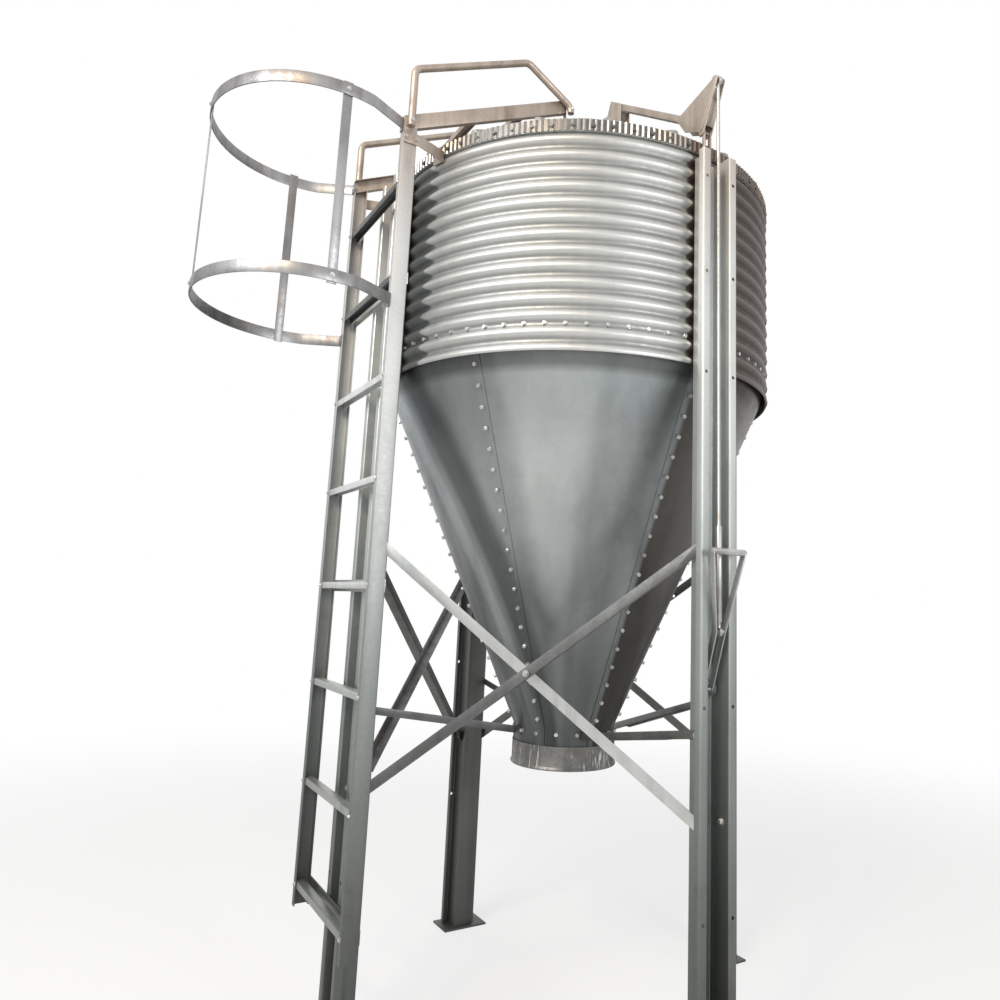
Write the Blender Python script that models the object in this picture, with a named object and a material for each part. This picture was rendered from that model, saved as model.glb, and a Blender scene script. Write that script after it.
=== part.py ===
"""Galvanized feed silo on four legs, with a ladder, a cage and a rod-worked roof lid.

Metres, +Z up. The silo axis is vertical, and its legs stand on the diagonals of a
square whose front side faces -Y. Each leg and each side has its own frame: x runs
outward from the silo axis, y runs sideways, to the left of outward, and z runs up.
"""

import math

import bmesh
import bpy
from mathutils import Matrix, Vector

SEAT_GAP = 0.0003
SHEET = 0.002

# Facets of the wall, the roof, the filling collar and the lid
QUARTERS = 4
QUARTER_STEPS = 10
WALL_TURN = math.radians(45.0)

# Corrugated wall
WALL_RADIUS = 0.765
CORRUGATION_DEPTH = 0.013
CORRUGATIONS = 14
WALL_BOTTOM = 2.238
WALL_HEIGHT = 0.807
WALL_LIP = 0.022

# Hopper and outlet
HOPPER_FLANGE_HEIGHT = 0.085
HOPPER_TOP = 2.255
HOPPER_BOTTOM = 0.988
HOPPER_PANELS = 6
HOPPER_PANEL_STEPS = 6
HOPPER_TURN = math.radians(15.0)
NECK_RADIUS = 0.192
NECK_HEIGHT = 0.075
LAP_WIDTH = 0.026
LAP_JOG = 0.004
COLLAR_HEIGHT = 0.085
COLLAR_OVERLAP = 0.018
COLLAR_SHEET = 0.003
COLLAR_BEAD = 0.005

# Roof, filling collar and lid
ROOF_SLOPE = math.radians(29.0)
ROOF_TURN = math.radians(9.0)
EAVE_OVERHANG = 0.011
EAVE_SKIRT = 0.042
RIB_WIDTH = 0.028
RIB_HEIGHT = 0.014
PEAK_RADIUS = 0.260
COLLAR_ABOVE_ROOF = 0.035
COLLAR_BELOW_ROOF = 0.015
LID_OVERHANG = 0.050
LID_SKIRT = 0.022
LID_LIFT = 0.006
LID_SLOPE = math.radians(20.0)
LID_TIP_RADIUS = 0.020

# Legs and feet
LEG_TOP = 2.966
LEG_WEB = 0.090
LEG_DEPTH = 0.081
LEG_LIP = 0.030
LEG_RETURN = 0.024
LEG_SHEET = 0.003
FOOT_LENGTH = 0.200
FOOT_DEPTH = 0.130
FOOT_THICKNESS = 0.008

CREST_RADIUS = WALL_RADIUS + CORRUGATION_DEPTH / 2
VALLEY_RADIUS = WALL_RADIUS - CORRUGATION_DEPTH / 2
LEG_IN = CREST_RADIUS + SEAT_GAP
LEG_OUT = LEG_IN + LEG_DEPTH

# Angle bars between the legs and to the hopper, with ends measured from the legs
ANGLE_WIDTH = 0.034
ANGLE_SHEET = 0.003
ANGLE_FLAT_END = 0.075
BRACE_TOP = 1.626
BRACE_BOTTOM = 0.816
BRACE_SEAT = 0.0282
BRACE_TAB = 0.040
BRACE_BITE = 0.0005
TIE_OUTER_HEIGHT = 1.074
TIE_INNER_HEIGHT = 0.968
TIE_END = 0.0602
TIE_TAB = 0.048
TIE_WIDTH = 0.026
TIES_ON_LAPS = ("b", "d")

# Ladder
LADDER_WIDTH = 0.540
LADDER_BOTTOM = 0.400
STILE_DEPTH = 0.050
STILE_FLANGE = 0.025
STILE_SHEET = 0.003
RUNGS = 8
FIRST_RUNG = 0.480
RUNG_SPACING = 0.337
RUNG_DEPTH = 0.030
RUNG_HEIGHT = 0.022
RUNG_SHEET = 0.003
BRACKET_HEIGHT = 0.040
BRACKET_SHEET = 0.004
BRACKET_DROP = 0.031
BRACKET_RUNGS = (0, 3, 6)

# Cage, with its middle measured from the stiles
HOOP_HEIGHTS = (2.405, 3.030)
HOOP_CENTRE = 0.2126
HOOP_RADIUS = 0.345
HOOP_WRAP = math.radians(105.0)
HOOP_STEPS = 14
HOOP_BAR = 0.040
HOOP_SHEET = 0.004
HOOP_TAB = 0.023
STRAP_WIDTH = 0.030
STRAP_SHEET = 0.003
STRAP_TURNS = (-90.0, 0.0, 90.0)
STRAP_BITE = 0.001
STRAP_PAST = 0.006

# Roof ladder, its handrails and the struts to the eave
STRINGER_LOW = 3.0098
STRINGER_DEPTH = 0.055
STRINGER_FLANGE = 0.022
STRINGER_SHEET = 0.003
STRINGER_END = 0.262
STRINGER_RISE = math.radians(26.4)
ROOF_RUNG_PLACES = (0.40, 0.70)
RAIL_DIAMETER = 0.026
RAIL_POST = 0.0224
RAIL_POST_TOP = 3.240
RAIL_TURN_DOWN = 0.446
RAIL_END_PAST = 0.012
RAIL_END_DROP = 0.108
RAIL_END = 3.325
RAIL_BEND = 0.035
RAIL_SIDES = 8
STRUT_HEIGHT = 0.040
STRUT_LEVEL = 2.969
STRUT_SHEET = 0.004
STRUT_FACE_END = 0.0094
STRUT_RIM_TURN = math.radians(15.5)
STRUT_RIM_TAB = 0.054

# Handle, pull rod and lid lever, in the frame of leg b
PIN_DIAMETER = 0.012
PIN_PLAY = 0.0008
HANDLE_PIVOT = Vector((LEG_IN + 0.0252, 0.0, 1.200))
ROD_PIN = Vector((LEG_IN + 0.0802, 0.0, 1.375))
ROD_TIP = Vector((LEG_IN + 0.0682, 0.0, 3.245))
LID_PIVOT = Vector((LEG_IN + 0.0052, 0.0, 3.080))
GRIP = Vector((LEG_IN + 0.1202, 0.0, 1.618))
GRIP_WIDTH = 0.137
GRIP_DIAMETER = 0.020
HANDLE_ROUND = 0.011
HANDLE_SHEET = 0.004
HANDLE_GAUGE = 0.040
EAR_SHEET = 0.004
EAR_GAP = 0.005
EAR_HEIGHT = 0.060
ROD_DIAMETER = 0.012
ROD_EYE = 0.028
ROD_EYE_SHEET = 0.012
TOP_EYE = 0.034
TOP_EYE_PLAY = 0.0045
SLEEVE_DIAMETER = 0.020
SLEEVE_FROM = 1.405
SLEEVE_TO = 1.700
CHEEK_GAUGE = 0.038
CHEEK_SHEET = 0.003
CHEEK_ROUND = 0.014
NECK_HIGH = Vector((LEG_IN - 0.1068, 0.0, 3.201))
NECK_LOW = Vector((LEG_IN - 0.1238, 0.0, 3.185))
CHEEK_HEEL = Vector((LEG_IN - 0.0808, 0.0, 3.120))
CHEEK_WEB_FROM = 0.022
CHEEK_WEB_TO = 0.110
ARM_END = Vector((0.226, 0.0, 3.503))
ARM_DEPTH = 0.023
ARM_INSET = 0.0005
POST_FOOT_IN = 0.185
POST_FOOT_OUT = 0.300
POST_TOP_FROM = 0.004
POST_TOP_TO = 0.090
STAND_EAR_SHEET = 0.004
STAND_BASE_LOW = 2.895
STAND_BASE_TOP = 2.960
STAND_REACH = 0.0159
STAND_SHOULDER = 3.045
STAND_STEP = 0.014

ZINC = ("galvanized_sheet", (0.56, 0.57, 0.57), 0.42, 0.85)
DARK_ZINC = ("galvanized_steel", (0.42, 0.43, 0.43), 0.50, 0.80)
WORN_ZINC = ("worn_zinc", (0.36, 0.35, 0.33), 0.58, 0.70)

LEG_TURNS = {
    "a": math.radians(-135.0),
    "b": math.radians(-45.0),
    "c": math.radians(45.0),
    "d": math.radians(135.0),
}
SIDE_TURNS = {
    "front": math.radians(-90.0),
    "right": math.radians(0.0),
    "back": math.radians(90.0),
    "left": math.radians(180.0),
}
HALF_CORNER = math.sqrt(0.5)
ROUND_SIDES = QUARTERS * QUARTER_STEPS
ROUND_STEP = 2 * math.pi / ROUND_SIDES
HOPPER_SIDES = HOPPER_PANELS * HOPPER_PANEL_STEPS
HOPPER_STEP = 2 * math.pi / HOPPER_SIDES

WALL_TOP = WALL_BOTTOM + WALL_HEIGHT
EAVE_RADIUS = WALL_RADIUS + EAVE_OVERHANG
FLANGE_SIDE = LEG_WEB / 2 + SEAT_GAP
STILE_IN = LEG_OUT + BRACKET_SHEET + 2 * SEAT_GAP
STILE_OUT = STILE_IN + STILE_DEPTH
LADDER_SIDE = LADDER_WIDTH / 2
NECK_LAP_RADIUS = NECK_RADIUS + SHEET + SEAT_GAP


def clear_scene():
    """Removes every object of the scene that the script starts in."""
    for item in list(bpy.data.objects):
        bpy.data.objects.remove(item, do_unlink=True)


def material(finish):
    """Returns the Principled material of one finish: name, colour, roughness, metal."""
    name, colour, roughness, metallic = finish
    made = bpy.data.materials.get(name)
    if made is None:
        made = bpy.data.materials.new(name)
        made.use_nodes = True
        shader = made.node_tree.nodes["Principled BSDF"]
        shader.inputs["Base Color"].default_value = (*colour, 1.0)
        shader.inputs["Roughness"].default_value = roughness
        shader.inputs["Metallic"].default_value = metallic
    return made


def empty(name, parent=None, place=(0.0, 0.0, 0.0), turn=0.0):
    """Returns an empty at a place of its parent's frame, turned about the z axis."""
    made = bpy.data.objects.new(name, None)
    bpy.context.collection.objects.link(made)
    made.parent = parent
    made.location = place
    made.rotation_euler = (0.0, 0.0, turn)
    return made


def part(name, mesh, finish, parent, smooth_below=None, pivot=None):
    """Makes one named object from a bmesh that is drawn in its frame.

    A pivot is the point of that frame where the parent, an empty, stands.
    """
    bmesh.ops.recalc_face_normals(mesh, faces=mesh.faces)
    data = bpy.data.meshes.new(name)
    mesh.to_mesh(data)
    mesh.free()
    if smooth_below is not None:
        data.shade_smooth()
        data.set_sharp_from_angle(angle=math.radians(smooth_below))
    data.materials.append(material(finish))
    made = bpy.data.objects.new(name, data)
    bpy.context.collection.objects.link(made)
    made.parent = parent
    if pivot is not None:
        made.location = -pivot
    return made


def join(mesh, tool, operation="UNION"):
    """Returns a bmesh that is a boolean of two bmeshes, and frees both."""
    made = []
    for solid in (mesh, tool):
        bmesh.ops.recalc_face_normals(solid, faces=solid.faces)
        data = bpy.data.meshes.new("solid")
        solid.to_mesh(data)
        solid.free()
        item = bpy.data.objects.new("solid", data)
        bpy.context.collection.objects.link(item)
        made.append(item)
    cut = made[0].modifiers.new("cut", "BOOLEAN")
    cut.operation = operation
    cut.solver = "EXACT"
    cut.object = made[1]
    bpy.context.view_layer.update()
    graph = bpy.context.evaluated_depsgraph_get()
    result = bmesh.new()
    result.from_mesh(made[0].evaluated_get(graph).to_mesh())
    for item in made:
        data = item.data
        bpy.data.objects.remove(item, do_unlink=True)
        bpy.data.meshes.remove(data)
    return result


def skin(mesh, loops, closed=False):
    """Skins closed loops of equal length, and caps the ends or closes on itself."""
    rows = [[mesh.verts.new(point) for point in loop] for loop in loops]
    count = len(rows[0])
    pairs = list(zip(rows, rows[1:]))
    if closed:
        pairs.append((rows[-1], rows[0]))
    else:
        mesh.faces.new(reversed(rows[0]))
        mesh.faces.new(rows[-1])
    for row, following in pairs:
        for index in range(count):
            after = (index + 1) % count
            mesh.faces.new((row[index], row[after], following[after], following[index]))
    return mesh


def extruded(outline, way):
    """Returns a bmesh of a flat outline of points extruded by a vector."""
    mesh = bmesh.new()
    face = mesh.faces.new([mesh.verts.new(point) for point in outline])
    grown = bmesh.ops.extrude_face_region(mesh, geom=[face])
    moved = [item for item in grown["geom"] if isinstance(item, bmesh.types.BMVert)]
    bmesh.ops.translate(mesh, verts=moved, vec=way)
    return mesh


def upright_plate(outline, side_low, side_high):
    """Returns a bmesh of a plate drawn in x and z that spans a range of y."""
    points = [Vector((point[0], side_low, point[1])) for point in outline]
    return extruded(points, Vector((0.0, side_high - side_low, 0.0)))


def box(low, high):
    """Returns a bmesh of a block between two corners."""
    outline = [
        Vector((low[0], low[1], low[2])),
        Vector((high[0], low[1], low[2])),
        Vector((high[0], high[1], low[2])),
        Vector((low[0], high[1], low[2])),
    ]
    return extruded(outline, Vector((0.0, 0.0, high[2] - low[2])))


def turned(profile, steps=ROUND_SIDES, start=0.0):
    """Returns a bmesh of a closed (radius, height) profile turned round the z axis."""
    loops = []
    for step in range(steps):
        angle = start + 2 * math.pi * step / steps
        loops.append([polar(radius, angle, height) for radius, height in profile])
    return skin(bmesh.new(), loops, closed=True)


def round_bar(start, end, diameter, sides=12):
    """Returns a bmesh of a round bar between two points."""
    start = Vector(start)
    along = Vector(end) - start
    turn = along.to_track_quat("Z", "Y").to_matrix().to_4x4()
    mesh = bmesh.new()
    bmesh.ops.create_cone(
        mesh,
        cap_ends=True,
        segments=sides,
        radius1=diameter / 2,
        radius2=diameter / 2,
        depth=along.length,
        matrix=Matrix.Translation(start + along / 2) @ turn,
    )
    return mesh


def cross_bar(centre, width, diameter, sides=12):
    """Returns a bmesh of a round bar along y with its middle at a point."""
    half = Vector((0.0, width / 2, 0.0))
    return round_bar(centre - half, centre + half, diameter, sides)


def polar(radius, angle, height):
    """Returns the point at a radius and an angle from +X round the z axis."""
    return Vector((radius * math.cos(angle), radius * math.sin(angle), height))


def thick_line(path, thickness):
    """Returns the outline of a bent sheet that lies on the right of an open 2-D path."""
    offsets = []
    for index, point in enumerate(path):
        ways = []
        if index > 0:
            ways.append((point - path[index - 1]).normalized())
        if index < len(path) - 1:
            ways.append((path[index + 1] - point).normalized())
        normals = [Vector((way.y, -way.x)) for way in ways]
        mean = sum(normals, Vector((0.0, 0.0))).normalized()
        offsets.append(point + mean * thickness / mean.dot(normals[0]))
    return list(path) + offsets[::-1]


def mirrored(outline):
    """Returns a 2-D outline with its second coordinate turned to the other side."""
    return [Vector((point.x, -point.y)) for point in outline]


def wall_line():
    """Returns the wall's outer line of (radius, height) points from bottom to top."""
    pitch = (WALL_HEIGHT - WALL_LIP) / CORRUGATIONS
    line = [(CREST_RADIUS, WALL_BOTTOM)]
    for wave in range(CORRUGATIONS):
        base = WALL_BOTTOM + WALL_LIP + wave * pitch
        line.append((VALLEY_RADIUS, base + pitch / 4))
        line.append((CREST_RADIUS, base + 3 * pitch / 4))
    line.append((WALL_RADIUS, WALL_TOP))
    return line


def make_wall(frame):
    """Makes the corrugated wall sheets, whose edges meet behind the legs."""
    outer = wall_line()
    profile = outer + [(radius - SHEET, height) for radius, height in reversed(outer)]
    edge = SEAT_GAP / 2 / WALL_RADIUS
    for number in range(QUARTERS):
        first = WALL_TURN + number * QUARTER_STEPS * ROUND_STEP
        turns = [first + step * ROUND_STEP for step in range(QUARTER_STEPS + 1)]
        turns[0] += edge
        turns[-1] -= edge
        loops = []
        for turn in turns:
            loops.append([polar(radius, turn, height) for radius, height in profile])
        mesh = skin(bmesh.new(), loops)
        part(f"wall_sheet_{number + 1}", mesh, ZINC, frame, smooth_below=30)


def hopper_line():
    """Returns the hopper's outer line of (radius, height) points from top to bottom."""
    wall_inside = (VALLEY_RADIUS - SHEET) * math.cos(ROUND_STEP / 2)
    flange = wall_inside - SHEET - 2 * SEAT_GAP
    return [
        (flange, HOPPER_TOP + HOPPER_FLANGE_HEIGHT),
        (flange, HOPPER_TOP),
        (NECK_RADIUS, HOPPER_BOTTOM),
        (NECK_RADIUS, HOPPER_BOTTOM - NECK_HEIGHT),
    ]


def panel_loop(angle, aside, lift):
    """Returns a hopper panel's closed section near a facet's edge at an angle.

    The section is moved aside along the facet and lifted outward from it.
    """
    outer = hopper_line()
    inner = [(radius - SHEET, height) for radius, height in reversed(outer)]
    half = HOPPER_STEP / 2
    loop = []
    for radius, height in outer + inner:
        swing = aside / radius
        on_facet = radius * math.cos(half) / math.cos(half - abs(swing))
        loop.append(polar(on_facet + lift, angle + swing, height))
    return loop


def make_hopper(frame):
    """Makes the hopper's panels, where every other one laps over both of its neighbours."""
    lift = SHEET + SEAT_GAP
    for number in range(HOPPER_PANELS):
        first = HOPPER_TURN + number * HOPPER_PANEL_STEPS * HOPPER_STEP
        last = first + HOPPER_PANEL_STEPS * HOPPER_STEP
        middle = [
            panel_loop(first + step * HOPPER_STEP, 0.0, 0.0)
            for step in range(1, HOPPER_PANEL_STEPS)
        ]
        if number % 2 == 0:
            start = [panel_loop(first, SEAT_GAP / 2, 0.0)]
            end = [panel_loop(last, -SEAT_GAP / 2, 0.0)]
        else:
            start = [
                panel_loop(first, -LAP_WIDTH, lift),
                panel_loop(first, SEAT_GAP / 2, lift),
                panel_loop(first, LAP_JOG, 0.0),
            ]
            end = [
                panel_loop(last, -LAP_JOG, 0.0),
                panel_loop(last, -SEAT_GAP / 2, lift),
                panel_loop(last, LAP_WIDTH, lift),
            ]
        loops = start + middle + end
        mesh = skin(bmesh.new(), loops)
        part(f"hopper_panel_{number + 1}", mesh, ZINC, frame, smooth_below=30)


def make_outlet(frame):
    """Makes the ring round the hopper's neck, with a bead at its lower edge."""
    inside = NECK_LAP_RADIUS + SEAT_GAP
    outside = inside + COLLAR_SHEET
    top = HOPPER_BOTTOM - NECK_HEIGHT + COLLAR_OVERLAP
    bottom = top - COLLAR_HEIGHT
    bead_top = bottom + 2 * COLLAR_BEAD
    profile = [
        (inside, top),
        (inside, bottom),
        (outside + COLLAR_BEAD, bottom),
        (outside + COLLAR_BEAD, bead_top),
        (outside, bead_top + COLLAR_BEAD),
        (outside, top),
    ]
    ring = turned(profile, HOPPER_SIDES, HOPPER_TURN)
    part("outlet_collar", ring, WORN_ZINC, frame, smooth_below=30)


def roof_height(radius):
    """Returns the height of the roof sheet's outer face at a radius."""
    over_wall = WALL_TOP + SEAT_GAP + SHEET / math.cos(ROOF_SLOPE)
    return over_wall + (WALL_RADIUS - radius) * math.tan(ROOF_SLOPE)


def roof_loop(angle, aside, lift):
    """Returns the roof sheet's closed section at an angle, moved aside and lifted."""
    thick = SHEET / math.cos(ROOF_SLOPE)
    inside = PEAK_RADIUS + SEAT_GAP
    under = EAVE_RADIUS - SHEET
    skirt_bottom = roof_height(EAVE_RADIUS) - EAVE_SKIRT
    line = [
        (inside, roof_height(inside) + lift),
        (EAVE_RADIUS, roof_height(EAVE_RADIUS) + lift),
        (EAVE_RADIUS, skirt_bottom),
        (under, skirt_bottom),
        (under, roof_height(under) - thick + lift),
        (inside, roof_height(inside) - thick + lift),
    ]
    return [polar(radius, angle + aside / radius, height) for radius, height in line]


def make_roof(frame):
    """Makes the roof panels, each with standing ribs and a skirt at the eave."""
    ribs = QUARTER_STEPS // 2
    half = RIB_WIDTH / 2
    for number in range(QUARTERS):
        first = ROOF_TURN + number * QUARTER_STEPS * ROUND_STEP
        last = first + QUARTER_STEPS * ROUND_STEP
        loops = [roof_loop(first, SEAT_GAP / 2, 0.0)]
        for rib in range(ribs):
            angle = first + (2 * rib + 1) * ROUND_STEP
            loops.append(roof_loop(angle, -half, 0.0))
            loops.append(roof_loop(angle, -half / 2, RIB_HEIGHT))
            loops.append(roof_loop(angle, half / 2, RIB_HEIGHT))
            loops.append(roof_loop(angle, half, 0.0))
            if rib < ribs - 1:
                loops.append(roof_loop(angle + ROUND_STEP, 0.0, 0.0))
        loops.append(roof_loop(last, -SEAT_GAP / 2, 0.0))
        mesh = skin(bmesh.new(), loops)
        part(f"roof_panel_{number + 1}", mesh, ZINC, frame, smooth_below=20)


def make_filling_collar(frame):
    """Makes the filling hole's collar, which stands in the roof's inner edge."""
    top = roof_height(PEAK_RADIUS) + COLLAR_ABOVE_ROOF
    bottom = roof_height(PEAK_RADIUS) - COLLAR_BELOW_ROOF
    inside = PEAK_RADIUS - COLLAR_SHEET
    profile = [(PEAK_RADIUS, bottom), (PEAK_RADIUS, top), (inside, top), (inside, bottom)]
    part("filling_collar", turned(profile), ZINC, frame, smooth_below=30)


def lid_top_height(radius):
    """Returns the height of the lid's upper face at a radius."""
    rim = roof_height(PEAK_RADIUS) + COLLAR_ABOVE_ROOF + LID_LIFT
    skin_rise = SHEET / math.cos(LID_SLOPE)
    return rim + skin_rise + (PEAK_RADIUS - radius) * math.tan(LID_SLOPE)


def make_lid(lever):
    """Makes the lid, a shallow cone whose skirt stands clear of the filling collar."""
    edge = PEAK_RADIUS + LID_OVERHANG
    skin_rise = SHEET / math.cos(LID_SLOPE)
    inner_edge = edge - SHEET
    skirt_bottom = lid_top_height(edge) - LID_SKIRT
    line = [
        (LID_TIP_RADIUS, lid_top_height(LID_TIP_RADIUS)),
        (edge, lid_top_height(edge)),
        (edge, skirt_bottom),
        (inner_edge, skirt_bottom),
        (inner_edge, lid_top_height(inner_edge) - skin_rise),
        (LID_TIP_RADIUS, lid_top_height(LID_TIP_RADIUS) - skin_rise),
    ]
    mesh = bmesh.new()
    rows = []
    for step in range(ROUND_SIDES):
        angle = step * ROUND_STEP
        row = [mesh.verts.new(polar(radius, angle, height)) for radius, height in line]
        rows.append(row)
    for row, following in zip(rows, rows[1:] + rows[:1]):
        for index in range(len(line) - 1):
            after = index + 1
            mesh.faces.new((row[index], row[after], following[after], following[index]))
    mesh.faces.new([row[0] for row in rows])
    mesh.faces.new([row[-1] for row in rows])
    part("lid", mesh, ZINC, lever, smooth_below=25, pivot=LID_PIVOT)


def leg_outline():
    """Returns a leg's section in x and y: web, two flanges, two lips, two returns."""
    half = LEG_WEB / 2
    lip = half + LEG_LIP - LEG_SHEET
    outer = LEG_OUT - LEG_SHEET
    path = [
        Vector((LEG_OUT - LEG_RETURN, -lip)),
        Vector((outer, -lip)),
        Vector((outer, -half)),
        Vector((LEG_IN, -half)),
        Vector((LEG_IN, half)),
        Vector((outer, half)),
        Vector((outer, lip)),
        Vector((LEG_OUT - LEG_RETURN, lip)),
    ]
    return thick_line(path, LEG_SHEET)


def make_leg(frame, name):
    """Makes one leg, a hat section welded to its foot plate."""
    start = FOOT_THICKNESS / 2
    outline = [Vector((point.x, point.y, start)) for point in leg_outline()]
    post = extruded(outline, Vector((0.0, 0.0, LEG_TOP - start)))
    middle = (LEG_IN + LEG_OUT) / 2
    foot = box(
        (middle - FOOT_DEPTH / 2, -FOOT_LENGTH / 2, 0.0),
        (middle + FOOT_DEPTH / 2, FOOT_LENGTH / 2, FOOT_THICKNESS),
    )
    part(f"leg_{name}", join(post, foot), DARK_ZINC, frame)


def bent_bar(path, heights, width):
    """Returns a bmesh of a flat bar on edge along a 2-D path, rising along the way."""
    outline = thick_line(path, ANGLE_SHEET)
    count = len(path)
    rise = heights[-1] - heights[0]
    run = sum((after - before).length for before, after in zip(path, path[1:]))
    half = width / 2 * math.hypot(rise, run) / run
    loops = []
    for index in range(count):
        near = outline[index]
        far = outline[-1 - index]
        height = heights[index]
        loops.append([
            Vector((near.x, near.y, height - half)),
            Vector((near.x, near.y, height + half)),
            Vector((far.x, far.y, height + half)),
            Vector((far.x, far.y, height - half)),
        ])
    return skin(bmesh.new(), loops)


def angle_ledge(start, end, reach, width):
    """Returns a bmesh of the second side of an angle bar, level across the bar.

    Start and end are (x, y, height) at the bar's middle line, and reach is the
    2-D step from the bar's near face to the ledge's free edge.
    """
    along = end - start
    stretch = along.length / Vector((along.x, along.y)).length
    half = width / 2 * stretch
    thick = ANGLE_SHEET * stretch
    loops = []
    for point in (start, end):
        low = point.z - half
        far = Vector((point.x + reach.x, point.y + reach.y))
        loops.append([
            Vector((point.x, point.y, low)),
            Vector((point.x, point.y, low + thick)),
            Vector((far.x, far.y, low + thick)),
            Vector((far.x, far.y, low)),
        ])
    return skin(bmesh.new(), loops)


def brace_bar(plane, left_height, right_height, ledge_in):
    """Returns a bmesh of one brace of a side, from flange to flange.

    Plane is the distance of the bar's near face from the silo axis, and ledge_in
    turns the angle's second side towards the axis.
    """
    seat = plane / HALF_CORNER - FLANGE_SIDE
    bend = HALF_CORNER * (seat - FLANGE_SIDE)
    tab = HALF_CORNER * BRACE_TAB
    path = [
        Vector((plane + tab, -bend - tab)),
        Vector((plane, -bend)),
        Vector((plane, bend)),
        Vector((plane + tab, bend + tab)),
    ]
    slope = (right_height - left_height) / (2 * bend)
    heights = [left_height - slope * tab, left_height, right_height]
    heights.append(right_height + slope * tab)
    bar = bent_bar(path, heights, ANGLE_WIDTH)
    reach = bend - ANGLE_FLAT_END
    if ledge_in:
        root = plane + ANGLE_SHEET
        way = Vector((-ANGLE_WIDTH, 0.0))
    else:
        root = plane
        way = Vector((ANGLE_WIDTH, 0.0))
    middle = (left_height + right_height) / 2
    start = Vector((root, -reach, middle - slope * reach))
    end = Vector((root, reach, middle + slope * reach))
    return join(bar, angle_ledge(start, end, way, ANGLE_WIDTH))


def make_braces(frame):
    """Makes the crossed braces of each side, one piece where they are bolted."""
    inner_plane = HALF_CORNER * (LEG_IN + BRACE_SEAT + FLANGE_SIDE)
    outer_plane = inner_plane + ANGLE_SHEET - BRACE_BITE
    for name, turn in SIDE_TURNS.items():
        side = empty("side_" + name, frame, turn=turn)
        inner = brace_bar(inner_plane, BRACE_TOP, BRACE_BOTTOM, True)
        outer = brace_bar(outer_plane, BRACE_BOTTOM, BRACE_TOP, False)
        part("cross_brace_" + name, join(inner, outer), DARK_ZINC, side)


def make_tie(frame, name):
    """Makes the angle bar from one leg's flange down to the hopper's neck."""
    face = (NECK_LAP_RADIUS if name in TIES_ON_LAPS else NECK_RADIUS) + SEAT_GAP
    turn = -math.asin((FLANGE_SIDE - TIE_TAB / 2) / face)
    normal = Vector((math.cos(turn), math.sin(turn)))
    along = Vector((-normal.y, normal.x))
    distance = face + ANGLE_SHEET
    bend_x = (distance + FLANGE_SIDE * normal.y) / normal.x
    bend = Vector((bend_x, -FLANGE_SIDE))
    outer_end = Vector((LEG_IN + TIE_END, -FLANGE_SIDE))
    path = [bend + along * TIE_TAB, bend, outer_end]
    heights = [TIE_INNER_HEIGHT, TIE_INNER_HEIGHT, TIE_OUTER_HEIGHT]
    bar = bent_bar(path, heights, TIE_WIDTH)
    slope = (TIE_OUTER_HEIGHT - TIE_INNER_HEIGHT) / (outer_end.x - bend.x)
    start = Vector((bend.x + ANGLE_FLAT_END, -FLANGE_SIDE, 0.0))
    end = Vector((LEG_IN - ANGLE_FLAT_END, -FLANGE_SIDE, 0.0))
    for point in (start, end):
        point.z = TIE_INNER_HEIGHT + slope * (point.x - bend.x)
    ledge = angle_ledge(start, end, Vector((0.0, -TIE_WIDTH)), TIE_WIDTH)
    part(f"tie_{name}", join(bar, ledge), DARK_ZINC, frame)


def stile_outline():
    """Returns the section of the stile on the +y side, open towards the ladder."""
    flange = LADDER_SIDE - STILE_FLANGE
    path = [
        Vector((STILE_IN, flange)),
        Vector((STILE_IN, LADDER_SIDE)),
        Vector((STILE_OUT, LADDER_SIDE)),
        Vector((STILE_OUT, flange)),
    ]
    return thick_line(path, STILE_SHEET)


def stringer_height(reach):
    """Returns the height of a stringer's lower edge at a distance from the axis."""
    return STRINGER_LOW + (STILE_OUT - reach) * math.tan(STRINGER_RISE)


def make_stile(frame, name, outline):
    """Makes one stile, whose top end is cut to the slope of the stringer on it."""
    bottom = [Vector((point.x, point.y, LADDER_BOTTOM)) for point in outline]
    top = [
        Vector((point.x, point.y, stringer_height(point.x) - SEAT_GAP))
        for point in outline
    ]
    mesh = skin(bmesh.new(), [bottom, top])
    part(f"ladder_stile_{name}", mesh, DARK_ZINC, frame)


def channel_rung(outer, height, half_width):
    """Returns a bmesh of a rung, a channel open below, between two stiles."""
    path = [
        Vector((outer - RUNG_DEPTH, height - RUNG_HEIGHT)),
        Vector((outer - RUNG_DEPTH, height)),
        Vector((outer, height)),
        Vector((outer, height - RUNG_HEIGHT)),
    ]
    outline = thick_line(path, RUNG_SHEET)
    points = [(point.x, point.y) for point in outline]
    return upright_plate(points, -half_width, half_width)


def make_ladder(frame):
    """Makes the stiles, the rungs between them and the brackets on the leg's lips."""
    outline = stile_outline()
    make_stile(frame, "right", outline)
    make_stile(frame, "left", mirrored(outline))
    half = LADDER_SIDE - STILE_SHEET - SEAT_GAP
    outer = STILE_OUT - STILE_SHEET - SEAT_GAP
    near = LEG_OUT + SEAT_GAP
    for number in range(RUNGS):
        height = FIRST_RUNG + number * RUNG_SPACING
        rung = channel_rung(outer, height, half)
        part(f"ladder_rung_{number + 1}", rung, DARK_ZINC, frame)
        if number in BRACKET_RUNGS:
            low = (near, -LADDER_SIDE, height - BRACKET_DROP)
            high = (near + BRACKET_SHEET, LADDER_SIDE, low[2] + BRACKET_HEIGHT)
            name = f"ladder_bracket_{BRACKET_RUNGS.index(number) + 1}"
            part(name, box(low, high), DARK_ZINC, frame)


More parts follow.
